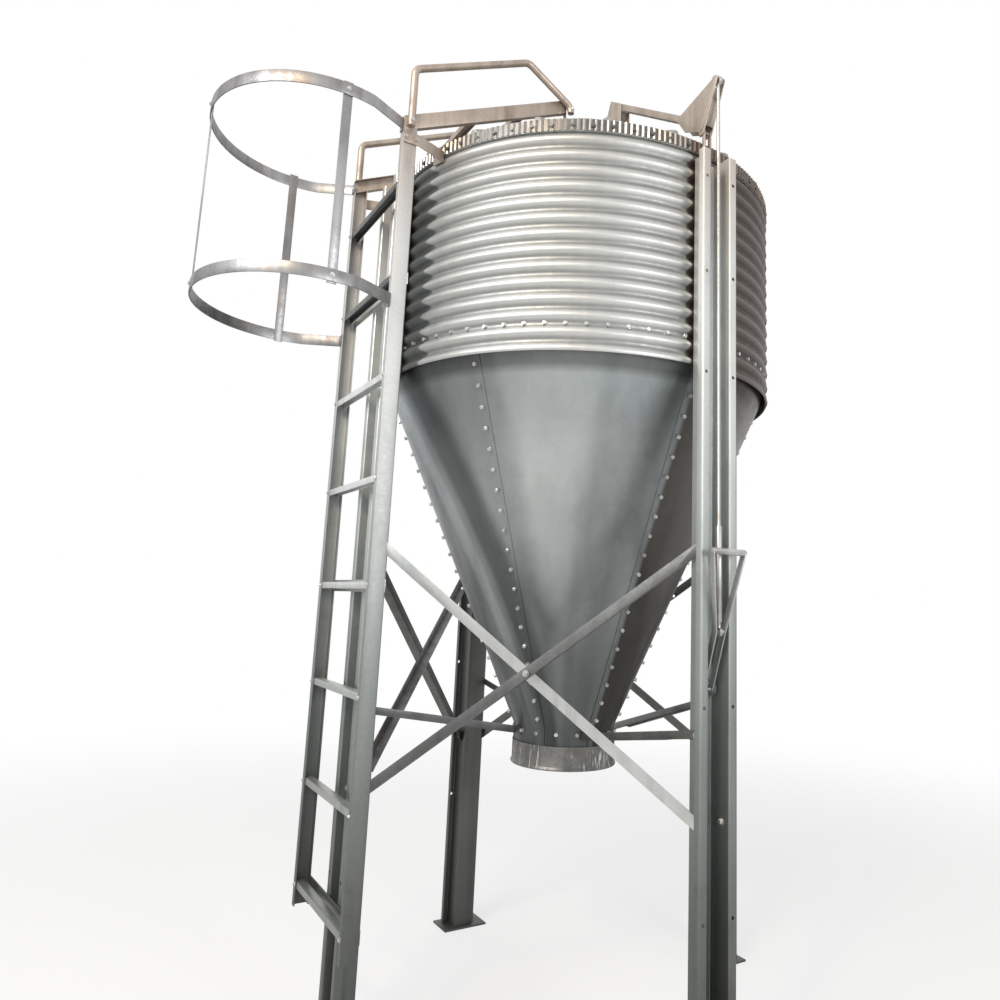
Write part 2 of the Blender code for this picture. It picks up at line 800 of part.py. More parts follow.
def hoop_path():
    """Returns the inner line of a hoop, from one stile round to the other."""
    face = STILE_OUT + SEAT_GAP + HOOP_SHEET
    side = LADDER_SIDE
    path = [Vector((face, HOOP_TAB - side)), Vector((face, -side))]
    for step in range(HOOP_STEPS + 1):
        angle = -HOOP_WRAP + 2 * HOOP_WRAP * step / HOOP_STEPS
        turn = Vector((math.cos(angle), math.sin(angle)))
        path.append(Vector((STILE_OUT + HOOP_CENTRE, 0.0)) + turn * HOOP_RADIUS)
    path.append(Vector((face, side)))
    path.append(Vector((face, side - HOOP_TAB)))
    return path


def make_cage(frame):
    """Makes the cage: two hoops, joined by the upright straps inside them."""
    outline = thick_line(hoop_path(), HOOP_SHEET)
    hoops = []
    for height in HOOP_HEIGHTS:
        points = [Vector((point.x, point.y, height - HOOP_BAR / 2)) for point in outline]
        hoops.append(extruded(points, Vector((0.0, 0.0, HOOP_BAR))))
    face = HOOP_RADIUS + STRAP_BITE
    low = HOOP_HEIGHTS[0] - HOOP_BAR / 2 - STRAP_PAST
    high = HOOP_HEIGHTS[-1] + HOOP_BAR / 2 + STRAP_PAST
    cage = hoops[0]
    for degrees in STRAP_TURNS:
        strap = box(
            (face - STRAP_SHEET, -STRAP_WIDTH / 2, low),
            (face, STRAP_WIDTH / 2, high),
        )
        turn = Matrix.Rotation(math.radians(degrees), 4, "Z")
        move = Matrix.Translation((STILE_OUT + HOOP_CENTRE, 0.0, 0.0))
        bmesh.ops.transform(strap, matrix=move @ turn, verts=strap.verts)
        cage = join(cage, strap)
    part("ladder_cage", join(cage, hoops[1]), DARK_ZINC, frame)


def make_stringer(frame, name, side):
    """Makes one stringer of the roof ladder, with the foot that it stands on."""
    flange = LADDER_SIDE - STRINGER_FLANGE
    loops = []
    for reach in (STILE_OUT, STRINGER_END):
        low = stringer_height(reach)
        high = low + STRINGER_DEPTH
        path = [
            Vector((low, flange)),
            Vector((low, LADDER_SIDE)),
            Vector((high, LADDER_SIDE)),
            Vector((high, flange)),
        ]
        outline = thick_line(path, STRINGER_SHEET)
        loops.append([Vector((reach, side * point.y, point.x)) for point in outline])
    beam = skin(bmesh.new(), loops)
    near = STRINGER_END - STRINGER_SHEET / 2
    inner = flange + STRINGER_SHEET / 2
    outer = LADDER_SIDE - STRINGER_SHEET / 2
    ground = roof_height(math.hypot(near, inner)) + RIB_HEIGHT + SEAT_GAP
    sides = sorted((side * inner, side * outer))
    top = stringer_height(STRINGER_END) + STRINGER_DEPTH - STRINGER_SHEET / 2
    foot = box((near, sides[0], ground), (near + STRINGER_SHEET, sides[1], top))
    part(f"roof_stringer_{name}", join(beam, foot), DARK_ZINC, frame)


def make_roof_rungs(frame):
    """Makes the rungs between the two stringers."""
    half = LADDER_SIDE - STRINGER_SHEET - SEAT_GAP
    for number, share in enumerate(ROOF_RUNG_PLACES):
        outer = STILE_OUT + share * (STRINGER_END - STILE_OUT)
        height = stringer_height(outer) + STRINGER_DEPTH - STRINGER_SHEET - SEAT_GAP
        rung = channel_rung(outer, height, half)
        part(f"roof_rung_{number + 1}", rung, DARK_ZINC, frame)


def rounded(path, radius, steps=4):
    """Returns a 2-D path whose inner corners are arcs of one radius."""
    result = [path[0]]
    for before, corner, after in zip(path, path[1:], path[2:]):
        way_in = (corner - before).normalized()
        way_out = (after - corner).normalized()
        turn = way_in.angle_signed(way_out)
        cut = radius * math.tan(abs(turn) / 2)
        start = corner - way_in * cut
        inward = Vector((way_in.y, -way_in.x)) * (1 if turn > 0 else -1)
        centre = start + inward * radius
        for step in range(steps + 1):
            swing = -turn * step / steps
            spoke = start - centre
            turned_spoke = Vector((
                spoke.x * math.cos(swing) - spoke.y * math.sin(swing),
                spoke.x * math.sin(swing) + spoke.y * math.cos(swing),
            ))
            result.append(centre + turned_spoke)
    result.append(path[-1])
    return result


def tube_in_plane(path, side, diameter, sides):
    """Returns a bmesh of a bar along a path of x and z in the plane y = side."""
    loops = []
    for index, point in enumerate(path):
        before = path[max(index - 1, 0)]
        after = path[min(index + 1, len(path) - 1)]
        way = (after - before).normalized()
        normal = Vector((-way.y, way.x))
        loop = []
        for step in range(sides):
            angle = 2 * math.pi * (step + 0.5) / sides
            across = normal * math.cos(angle) * diameter / 2
            loop.append(Vector((
                point.x + across.x,
                side + math.sin(angle) * diameter / 2,
                point.y + across.y,
            )))
        loops.append(loop)
    return skin(bmesh.new(), loops)


def make_handrail(frame, name, side):
    """Makes one bent handrail on the outer face of a stringer."""
    slope = math.tan(STRINGER_RISE)
    post = STILE_OUT - RAIL_POST
    top = RAIL_POST_TOP + (post - RAIL_TURN_DOWN) * slope
    end = STRINGER_END - RAIL_END_PAST
    path = [
        Vector((post, stringer_height(post) + STRINGER_SHEET)),
        Vector((post, RAIL_POST_TOP)),
        Vector((RAIL_TURN_DOWN, top)),
        Vector((end, top - RAIL_END_DROP)),
        Vector((end, RAIL_END)),
    ]
    lateral = LADDER_SIDE + SEAT_GAP + RAIL_DIAMETER / 2 * math.cos(math.pi / RAIL_SIDES)
    line = rounded(path, RAIL_BEND)
    mesh = tube_in_plane(line, side * lateral, RAIL_DIAMETER, RAIL_SIDES)
    part(f"handrail_{name}", mesh, DARK_ZINC, frame, smooth_below=50)


def make_strut(frame, name, side):
    """Makes the flat bar from a stile to the skirt at the eave."""
    face = LADDER_SIDE + SEAT_GAP + STRUT_SHEET
    foot = Vector((math.cos(STRUT_RIM_TURN), math.sin(STRUT_RIM_TURN)))
    along = Vector((foot.y, -foot.x))
    touch = foot * (EAVE_RADIUS + SEAT_GAP)
    path = [
        touch + along * STRUT_RIM_TAB / 2,
        touch - along * STRUT_RIM_TAB / 2,
        Vector((STILE_IN - STRUT_FACE_END, face)),
        Vector((STILE_OUT - STILE_SHEET, face)),
    ]
    outline = thick_line(path, STRUT_SHEET)
    points = [Vector((point.x, side * point.y, STRUT_LEVEL)) for point in outline]
    mesh = extruded(points, Vector((0.0, 0.0, STRUT_HEIGHT)))
    part(f"eave_strut_{name}", mesh, DARK_ZINC, frame)


def round_end(centre, radius, away, steps=6):
    """Returns half a circle in x and z round a point, bulging in a direction."""
    start = math.atan2(away.z, away.x) - math.pi / 2
    points = []
    for step in range(steps + 1):
        angle = start + math.pi * step / steps
        points.append((
            centre.x + radius * math.cos(angle),
            centre.z + radius * math.sin(angle),
        ))
    return points


def make_handle_bracket(frame):
    """Makes the bracket on the leg's web, with the pin that the handle turns on."""
    web = LEG_IN + LEG_SHEET + SEAT_GAP
    half = HANDLE_GAUGE / 2 + EAR_GAP
    low = HANDLE_PIVOT.z - EAR_HEIGHT / 2
    high = HANDLE_PIVOT.z + EAR_HEIGHT / 2
    reach = HANDLE_PIVOT.x + PIN_DIAMETER
    base = box((web, -half - EAR_SHEET, low), (web + EAR_SHEET, half + EAR_SHEET, high))
    ear = [(web + EAR_SHEET / 2, low), (web + EAR_SHEET / 2, high)]
    ear += [(reach, HANDLE_PIVOT.z + PIN_DIAMETER), (reach, HANDLE_PIVOT.z - PIN_DIAMETER)]
    mesh = join(base, upright_plate(ear, half, half + EAR_SHEET))
    mesh = join(mesh, upright_plate(ear, -half - EAR_SHEET, -half))
    width = 2 * (half + EAR_SHEET / 2)
    mesh = join(mesh, cross_bar(HANDLE_PIVOT, width, PIN_DIAMETER))
    part("handle_bracket", mesh, DARK_ZINC, frame)


def handle_side(side):
    """Returns a bmesh of one side bar of the handle, splayed out to the grip."""
    splay = GRIP_WIDTH / 2 - HANDLE_SHEET
    inner = HANDLE_GAUGE / 2 - HANDLE_SHEET
    way = (ROD_PIN - HANDLE_PIVOT).normalized()
    stations = []
    for degrees in (75.0, 50.0, 25.0):
        turn = math.radians(degrees)
        centre = HANDLE_PIVOT - way * HANDLE_ROUND * math.sin(turn)
        stations.append((centre, HANDLE_ROUND * math.cos(turn), way, inner))
    splayed = (GRIP - ROD_PIN).normalized()
    bend = (way + splayed).normalized()
    stations.append((HANDLE_PIVOT, HANDLE_ROUND, way, inner))
    stations.append((ROD_PIN, HANDLE_ROUND, bend, inner))
    stations.append((GRIP, HANDLE_ROUND, splayed, splay))
    loops = []
    for point, half, heading, offset in stations:
        across = Vector((heading.z, 0.0, -heading.x)) * half
        near = Vector((0.0, side * offset, 0.0))
        far = Vector((0.0, side * (offset + HANDLE_SHEET), 0.0))
        loops.append([
            point - across + near,
            point + across + near,
            point + across + far,
            point - across + far,
        ])
    return skin(bmesh.new(), loops)


def make_handle(pivot):
    """Makes the handle: two side bars, the grip across them and the rod's pin."""
    width = HANDLE_GAUGE - HANDLE_SHEET
    grip = cross_bar(GRIP, GRIP_WIDTH + HANDLE_SHEET, GRIP_DIAMETER)
    mesh = join(handle_side(1), grip)
    mesh = join(mesh, handle_side(-1))
    mesh = join(mesh, cross_bar(ROD_PIN, width, PIN_DIAMETER))
    bore = cross_bar(HANDLE_PIVOT, 2 * width, PIN_DIAMETER + 2 * PIN_PLAY)
    mesh = join(mesh, bore, "DIFFERENCE")
    part("handle", mesh, DARK_ZINC, pivot, pivot=HANDLE_PIVOT)


def make_pull_rod(pivot):
    """Makes the pull rod with its two eyes and the sleeve that joins its halves."""
    way = (ROD_TIP - ROD_PIN).normalized()
    mesh = round_bar(
        ROD_PIN + way * ROD_EYE * 0.4, ROD_TIP - way * TOP_EYE * 0.4, ROD_DIAMETER
    )
    low = ROD_PIN + way * (SLEEVE_FROM - ROD_PIN.z)
    high = ROD_PIN + way * (SLEEVE_TO - ROD_PIN.z)
    mesh = join(mesh, round_bar(low, high, SLEEVE_DIAMETER))
    mesh = join(mesh, cross_bar(ROD_PIN, ROD_EYE_SHEET, ROD_EYE))
    mesh = join(mesh, cross_bar(ROD_TIP, ROD_EYE_SHEET, TOP_EYE))
    lower_bore = cross_bar(ROD_PIN, 2 * ROD_EYE, PIN_DIAMETER + 2 * PIN_PLAY)
    mesh = join(mesh, lower_bore, "DIFFERENCE")
    upper_bore = cross_bar(ROD_TIP, 2 * ROD_EYE, PIN_DIAMETER + 2 * TOP_EYE_PLAY)
    mesh = join(mesh, upper_bore, "DIFFERENCE")
    part("pull_rod", mesh, DARK_ZINC, pivot, smooth_below=40, pivot=ROD_PIN)


def make_lid_stand(frame):
    """Makes the stand on top of the leg, with the pin that the lid lever turns on."""
    web = LEG_IN + LEG_SHEET + SEAT_GAP
    skirt = EAVE_RADIUS + SEAT_GAP
    skirt_bottom = roof_height(EAVE_RADIUS) - EAVE_SKIRT
    half = CHEEK_GAUGE / 2 - CHEEK_SHEET - PIN_PLAY - STAND_EAR_SHEET
    ear = [
        (web + EAR_SHEET / 2, STAND_BASE_LOW),
        (web + STAND_REACH, STAND_BASE_LOW + STAND_REACH),
        (web + STAND_REACH, STAND_SHOULDER),
    ]
    ear += round_end(LID_PIVOT, CHEEK_ROUND, Vector((0.0, 0.0, 1.0)))
    ear += [
        (LID_PIVOT.x - CHEEK_ROUND, LID_PIVOT.z - STAND_STEP),
        (skirt, LID_PIVOT.z - STAND_STEP),
        (skirt, skirt_bottom - STAND_STEP),
        (web + EAR_SHEET / 2, STAND_BASE_TOP),
    ]
    base = box(
        (web, -LEG_WEB / 4, STAND_BASE_LOW - EAR_SHEET),
        (web + EAR_SHEET, LEG_WEB / 4, STAND_BASE_TOP),
    )
    mesh = join(base, upright_plate(ear, half, half + STAND_EAR_SHEET))
    mesh = join(mesh, upright_plate(ear, -half - STAND_EAR_SHEET, -half))
    mesh = join(mesh, cross_bar(LID_PIVOT, CHEEK_GAUGE - CHEEK_SHEET, PIN_DIAMETER))
    part("lid_stand", mesh, DARK_ZINC, frame)


def lever_outline(down):
    """Returns the lid lever's side in x and z: the cheek and the arm along it."""
    to_tip = ROD_TIP - LID_PIVOT
    corners = [NECK_HIGH, ARM_END, ARM_END + down * ARM_DEPTH, NECK_LOW, CHEEK_HEEL]
    outline = round_end(LID_PIVOT, CHEEK_ROUND, -to_tip)
    outline += round_end(ROD_TIP, CHEEK_ROUND, to_tip)
    return outline + [(corner.x, corner.z) for corner in corners]


def make_lid_lever(pivot):
    """Makes the lid lever: two sides, the arm's top and a web behind the cheeks."""
    along = (NECK_HIGH - ARM_END).normalized()
    down = Vector((along.z, 0.0, -along.x))
    outline = lever_outline(down)
    outside = CHEEK_GAUGE / 2
    inside = outside - CHEEK_SHEET
    middle = outside - CHEEK_SHEET / 2
    high = down * ARM_INSET
    low = down * (ARM_INSET + CHEEK_SHEET)
    start = ARM_END + along * ARM_INSET
    top = [start + high, NECK_HIGH + high, NECK_HIGH + low, start + low]
    unit = (ROD_TIP - LID_PIVOT).normalized()
    side = Vector((unit.z, 0.0, -unit.x))
    near = LID_PIVOT + side * (CHEEK_ROUND - ARM_INSET - CHEEK_SHEET)
    far = near + side * CHEEK_SHEET
    web = [
        near + unit * CHEEK_WEB_FROM,
        near + unit * CHEEK_WEB_TO,
        far + unit * CHEEK_WEB_TO,
        far + unit * CHEEK_WEB_FROM,
    ]
    mesh = upright_plate(outline, inside, outside)
    for plate in (top, web):
        points = [(corner.x, corner.z) for corner in plate]
        mesh = join(mesh, upright_plate(points, -middle, middle))
    mesh = join(mesh, upright_plate(outline, -outside, -inside))
    mesh = join(mesh, cross_bar(ROD_TIP, 2 * middle, PIN_DIAMETER))
    bore = cross_bar(LID_PIVOT, 2 * CHEEK_GAUGE, PIN_DIAMETER + 2 * PIN_PLAY)
    mesh = join(mesh, bore, "DIFFERENCE")
    part("lid_lever", mesh, DARK_ZINC, pivot, pivot=LID_PIVOT)


def make_lid_post(pivot):
    """Makes the post on the lid: a base and two sides that hold the lever's arm."""
    near = CHEEK_GAUGE / 2 + SEAT_GAP
    foot_in = (POST_FOOT_IN, lid_top_height(POST_FOOT_IN) + SEAT_GAP)
    foot_out = (POST_FOOT_OUT, lid_top_height(POST_FOOT_OUT) + SEAT_GAP)
    along = (NECK_HIGH - ARM_END).normalized()
    first = ARM_END + along * POST_TOP_FROM
    second = ARM_END + along * POST_TOP_TO
    outline = [foot_in, foot_out, (second.x, second.z), (first.x, first.z)]
    base_in = POST_FOOT_IN + CHEEK_SHEET
    base_out = POST_FOOT_OUT - CHEEK_SHEET
    lift = SEAT_GAP + ARM_INSET
    base = [
        (base_in, lid_top_height(base_in) + lift),
        (base_out, lid_top_height(base_out) + lift),
        (base_out, lid_top_height(base_out) + lift + CHEEK_SHEET),
        (base_in, lid_top_height(base_in) + lift + CHEEK_SHEET),
    ]
    middle = near + CHEEK_SHEET / 2
    mesh = upright_plate(outline, near, near + CHEEK_SHEET)
    mesh = join(mesh, upright_plate(base, -middle, middle))
    mesh = join(mesh, upright_plate(outline, -near - CHEEK_SHEET, -near))
    part("lid_post", mesh, DARK_ZINC, pivot, pivot=LID_PIVOT)


def make_lid_gear(frame):
    """Makes the handle, the pull rod, the lid lever and the lid on leg b."""
    make_handle_bracket(frame)
    make_lid_stand(frame)
    make_handle(empty("handle_pivot", frame, HANDLE_PIVOT))
    make_pull_rod(empty("rod_pivot", frame, ROD_PIN))
    lever = empty("lid_pivot", frame, LID_PIVOT)
    make_lid_lever(lever)
    make_lid_post(lever)
    make_lid(lever)


def centre_on_ground(frame):
    """Moves the whole silo so that its box is centred over the origin."""
    bpy.context.view_layer.update()
    corners = []
    for item in bpy.context.scene.objects:
        if item.type == "MESH":
            corners += [item.matrix_world @ vertex.co for vertex in item.data.vertices]
    middle_x = (min(c.x for c in corners) + max(c.x for c in corners)) / 2
    middle_y = (min(c.y for c in corners) + max(c.y for c in corners)) / 2
    frame.location = (-middle_x, -middle_y, 0.0)


def main():
    """Builds the silo, piece by piece, under one empty on its axis."""
    clear_scene()
    axis = empty("silo_axis")
    make_wall(axis)
    make_hopper(axis)
    make_outlet(axis)
    make_roof(axis)
    make_filling_collar(axis)
    make_braces(axis)
    frames = {}
    for name, turn in LEG_TURNS.items():
        frames[name] = empty("leg_frame_" + name, axis, turn=turn)
        make_leg(frames[name], name)
        make_tie(frames[name], name)
    make_ladder(frames["a"])
    make_cage(frames["a"])
    for name, side in (("right", 1), ("left", -1)):
        make_stringer(frames["a"], name, side)
        make_handrail(frames["a"], name, side)
        make_strut(frames["a"], name, side)
    make_roof_rungs(frames["a"])
    make_lid_gear(frames["b"])
    centre_on_ground(axis)


main()
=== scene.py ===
"""Looks of a galvanized feed silo: sheets, folded steel, bolts, floor, light and camera.

Every piece stands in the frame of the solid model, in metres. Each sub-assembly is a
class that holds its sizes, builds its pieces and dresses them in a finish.
"""

import logging
import math
from collections.abc import Callable
from dataclasses import dataclass
from enum import Enum
from functools import cached_property

import bmesh
import bpy
from mathutils import Matrix, Vector


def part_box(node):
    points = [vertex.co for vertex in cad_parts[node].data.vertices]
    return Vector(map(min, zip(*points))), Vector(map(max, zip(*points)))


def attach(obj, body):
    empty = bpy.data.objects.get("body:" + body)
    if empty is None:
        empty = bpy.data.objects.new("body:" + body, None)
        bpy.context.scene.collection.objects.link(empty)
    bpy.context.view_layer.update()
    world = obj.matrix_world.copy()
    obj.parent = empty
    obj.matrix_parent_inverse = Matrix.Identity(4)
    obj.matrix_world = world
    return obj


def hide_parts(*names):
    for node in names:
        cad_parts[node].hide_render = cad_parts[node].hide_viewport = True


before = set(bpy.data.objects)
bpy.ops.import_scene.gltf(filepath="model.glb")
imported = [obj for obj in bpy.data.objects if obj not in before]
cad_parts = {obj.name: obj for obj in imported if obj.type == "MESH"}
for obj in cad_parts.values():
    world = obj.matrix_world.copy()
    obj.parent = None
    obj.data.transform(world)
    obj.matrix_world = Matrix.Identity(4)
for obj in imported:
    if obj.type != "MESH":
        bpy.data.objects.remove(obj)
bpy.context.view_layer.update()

logging.basicConfig(level=logging.INFO, format="%(message)s")
log = logging.getLogger("silo")

Piece = bpy.types.Object
Socket = bpy.types.NodeSocket
Triple = tuple[float, float, float]
Spot = tuple[Vector, Vector]

UP = Vector((0.0, 0.0, 1.0))
OUT = (1.0, 0.0, 0.0)
WHITE = (1.0, 1.0, 1.0)
DOUBLES = 0.00002
EDGE = 0.0006
RING_COLUMNS = 96
ROUND_SHADING = 40.0
TALLEST = 3.6
WAVES = 14
WAVE_START = 2.260
WAVE_PITCH = 0.785 / WAVES
SLANT_TOP = 2.15


class Body(Enum):
    """The bodies of the frame that a piece can ride on."""

    FRAME = "frame"
    HANDLE = "handle"
    ROD = "pull_rod"
    LID = "lid_arm"


class Side(Enum):
    """The two sides of a leg or of the ladder, as signs of its sideways axis."""

    RIGHT = 1
    LEFT = -1


# Where things are


def silo_axis() -> Vector:
    """Returns the foot of the silo's axis, from the box of its outlet collar."""
    low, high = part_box("outlet_collar")
    return Vector(((low.x + high.x) / 2, (low.y + high.y) / 2, 0.0))


AXIS = silo_axis()


@dataclass(frozen=True)
class Place:
    """A frame that stands on the silo's axis and faces out at an angle in radians."""

    turn: float

    def at(self, out: float, aside: float, height: float) -> Vector:
        """Returns a point of this frame.

        Args:
            out: its distance out from the axis.
            aside: its distance to the left.
            height: its height.

        Returns:
            The point in the solid model's frame.
        """
        cos, sin = math.cos(self.turn), math.sin(self.turn)
        x = AXIS.x + out * cos - aside * sin
        y = AXIS.y + out * sin + aside * cos
        return Vector((x, y, height))

    def way(self, out: float, aside: float, up: float) -> Vector:
        """Returns a direction of this frame in the solid model's frame."""
        return self.at(out, aside, up) - self.at(0.0, 0.0, 0.0)

    def seat(self, out: float, aside: float, height: float, way: Triple = OUT) -> Spot:
        """Returns a fitting's seat and the way that it faces."""
        return self.at(out, aside, height), self.way(*way)


def outward(degrees: float) -> Place:
    """Returns the frame at an angle from +X round the silo's axis."""
    return Place(math.radians(degrees))


def around(count: int, first: float, out: float, height: float) -> list[Spot]:
    """Returns evenly spaced seats round the silo, from the first one's angle in degrees."""
    turns = [number * 360.0 / count + first for number in range(count)]
    return [outward(turn).seat(out, 0.0, height) for turn in turns]


LADDER_LEG = outward(-135.0)
LEG_PLACES = {"a": -135.0, "b": -45.0, "c": 45.0, "d": 135.0}
SIDE_PLACES = {"front": -90.0, "right": 0.0, "back": 90.0, "left": 180.0}


# Shader graphs


class Num:
    """A number socket that takes part in Python expressions."""

    def __init__(self, graph: "Graph", socket: Socket) -> None:
        """Wraps a socket of a graph."""
        self.graph = graph
        self.socket = socket

    def _math(self, operation: str, left: object, right: object) -> "Num":
        """Returns the result of a Math node on two numbers, sockets or Nums."""
        node = self.graph.node("Math", {"operation": operation}, {0: left, 1: right})
        return Num(self.graph, node.outputs[0])

    def __add__(self, other: object) -> "Num":
        """Returns the sum."""
        return self._math("ADD", self, other)

    def __radd__(self, other: object) -> "Num":
        """Returns the sum."""
        return self._math("ADD", other, self)

    def __sub__(self, other: object) -> "Num":
        """Returns the difference."""
        return self._math("SUBTRACT", self, other)

    def __rsub__(self, other: object) -> "Num":
        """Returns the difference from a number."""
        return self._math("SUBTRACT", other, self)

    def __mul__(self, other: object) -> "Num":
        """Returns the product."""
        return self._math("MULTIPLY", self, other)

    def __rmul__(self, other: object) -> "Num":
        """Returns the product."""
        return self._math("MULTIPLY", other, self)

    def sine(self) -> "Num":
        """Returns the sine of an angle in radians."""
        return self._math("SINE", self, 0.0)

    def angle_over(self, other: "Num") -> "Num":
        """Returns the angle whose tangent is this number over the other."""
        return self._math("ARCTAN2", self, other)

    def step(self, low: float, high: float) -> "Num":
        """Returns a smooth step.

        Args:
            low: the value below which the result is 0.
            high: the value above which the result is 1.

        Returns:
            The stepped number.
        """
        values = {"Value": self, "From Min": low, "From Max": high}
        node = self.graph.node("MapRange", {"interpolation_type": "SMOOTHSTEP"}, values)
        return Num(self.graph, node.outputs["Result"])


class Graph:
    """The node tree of a material or a world."""

    def __init__(self, owner: bpy.types.Material | bpy.types.World) -> None:
        """Takes up the tree of a new owner, with its first shader and its output."""
        self.owner = owner
        owner.use_nodes = True
        self.tree = owner.node_tree

    @cached_property
    def coordinates(self) -> Socket:
        """The shaded point in object coordinates."""
        return self.node("TexCoord", {}, {}).outputs["Object"]

    @cached_property
    def shader(self) -> bpy.types.Node:
        """The material's Principled shader."""
        return self.tree.nodes["Principled BSDF"]

    def node(self, kind: str, settings: dict, values: dict) -> bpy.types.Node:
        """Adds a node.

        Args:
            kind: the node's type, without its prefix.
            settings: its properties, which are set first.
            values: numbers, colours, sockets or Nums for its inputs, by name or index.

        Returns:
            The new node.
        """
        made = self.tree.nodes.new(f"ShaderNode{kind}")
        for key, value in settings.items():
            if key == "stops":
                self.set_stops(made.color_ramp, value)
            else:
                setattr(made, key, value)
        for key, value in values.items():
            self.feed(made.inputs[key], value)
        return made

    @staticmethod
    def set_stops(ramp: bpy.types.ColorRamp, stops: tuple[tuple[float, Triple], ...]) -> None:
        """Sets a colour ramp's stops.

        Args:
            ramp: the ramp.
            stops: the place and the colour of each stop.
        """
        while len(ramp.elements) > 1:
            ramp.elements.remove(ramp.elements[-1])
        ramp.elements[0].position = stops[0][0]
        ramp.elements[0].color = (*stops[0][1], 1.0)
        for position, colour in stops[1:]:
            ramp.elements.new(position).color = (*colour, 1.0)

    def feed(self, socket: Socket, value: object) -> None:
        """Links or sets one input socket.

        Args:
            socket: the input socket.
            value: a number, a colour, a socket or a Num.
        """
        if isinstance(value, Num):
            value = value.socket
        if isinstance(value, Socket):
            self.tree.links.new(value, socket)
        elif socket.type == "RGBA":
            socket.default_value = (*value, 1.0)
        else:
            socket.default_value = value

    def noise(self, scale: float, detail: float = 3.0, vector: Socket | None = None) -> Num:
        """Adds a Noise texture.

        Args:
            scale: features in a metre.
            detail: octaves.
            vector: the coordinates, or None for object coordinates.

        Returns:
            The noise, around 0.5.
        """
        values = {"Vector": vector or self.coordinates, "Scale": scale, "Detail": detail}
        return Num(self, self.node("TexNoise", {}, values).outputs["Fac"])

    def stretched(self, scale: Triple) -> Socket:
        """Returns scaled object coordinates."""
        return self.node("Mapping", {}, {0: self.coordinates, "Scale": scale}).outputs[0]

    def crystals(self, scale: float) -> Num:
        """Returns the random grey of each cell of a Voronoi texture."""
        cells = self.node("TexVoronoi", {}, {"Vector": self.coordinates, "Scale": scale})
        return Num(self, self.node("SeparateColor", {}, {0: cells.outputs["Color"]}).outputs[0])

    def along(self, letter: str) -> Num:
        """Returns the shaded point's X, Y or Z."""
        return Num(self, self.node("SeparateXYZ", {}, {0: self.coordinates}).outputs[letter])

    def bearing(self) -> Num:
        """Returns the shaded point's angle round the silo's axis, in radians from +X."""
        return (self.along("Y") - AXIS.y).angle_over(self.along("X") - AXIS.x)

    def wave(self) -> Num:
        """Returns 1 in the valleys of the wall's corrugation and -1 on its crests."""
        return ((self.along("Z") - WAVE_START) * (2 * math.pi / WAVE_PITCH)).sine()

    def wrapped(self, round_scale: float, up_scale: float) -> Socket:
        """Returns coordinates that run round the silo and up it, each scaled."""
        values = {"X": self.bearing() * round_scale, "Y": self.along("Z") * up_scale}
        return self.node("CombineXYZ", {}, values).outputs[0]

    def mix(self, factor: object, low: object, high: object, blend: str = "MIX") -> Socket:
        """Blends two colours.

        Args:
            factor: 0 for the first colour and 1 for the whole blend.
            low: a colour or a socket.
            high: a colour or a socket.
            blend: MIX, or MULTIPLY where the second one is a tint.

        Returns:
            The blended colour's socket.
        """
        settings = {"data_type": "RGBA", "blend_type": blend}
        return self.node("Mix", settings, {"Factor": factor, 6: low, 7: high}).outputs[2]

    def bump(self, height: Num, depth: float, after: Socket | None = None) -> Socket:
        """Adds a Bump node.

        Args:
            height: the height map, from 0 to 1.
            depth: the depth of the map in metres.
            after: the normal of an earlier Bump node, or None.

        Returns:
            The bumped normal's socket.
        """
        values = {"Distance": depth, "Height": height}
        if after is not None:
            values["Normal"] = after
        return self.node("Bump", {}, values).outputs["Normal"]


# Finishes


@dataclass(frozen=True)
class PaintedLightSector:
    """A stretch round the silo between bearings in degrees, whose tint paints shade, a shadow or a
    highlight on it.

    The tint fades in from first to full and out from fade to last. Its edges ripple
    with the corrugation, or slant by some degrees for each metre down from SLANT_TOP.
    """

    first: float
    full: float
    fade: float
    last: float
    tint: Triple
    ripple: float = 0.0
    slant: float = 0.0

    def over(self, graph: Graph, colour: Socket) -> Socket:
        """Lays the painted light or shade over a colour.

        Args:
            graph: the material's graph.
            colour: the colour.

        Returns:
            The tinted colour's socket.
        """
        bearing = graph.bearing() * math.degrees(1.0)
        if self.ripple:
            bearing = bearing - self.ripple * graph.wave()
        if self.slant:
            bearing = bearing - self.slant * (SLANT_TOP - graph.along("Z"))
        inside = bearing.step(self.first, self.full)
        inside = inside * (1.0 - bearing.step(self.fade, self.last))
        return graph.mix(inside, colour, self.tint, "MULTIPLY")


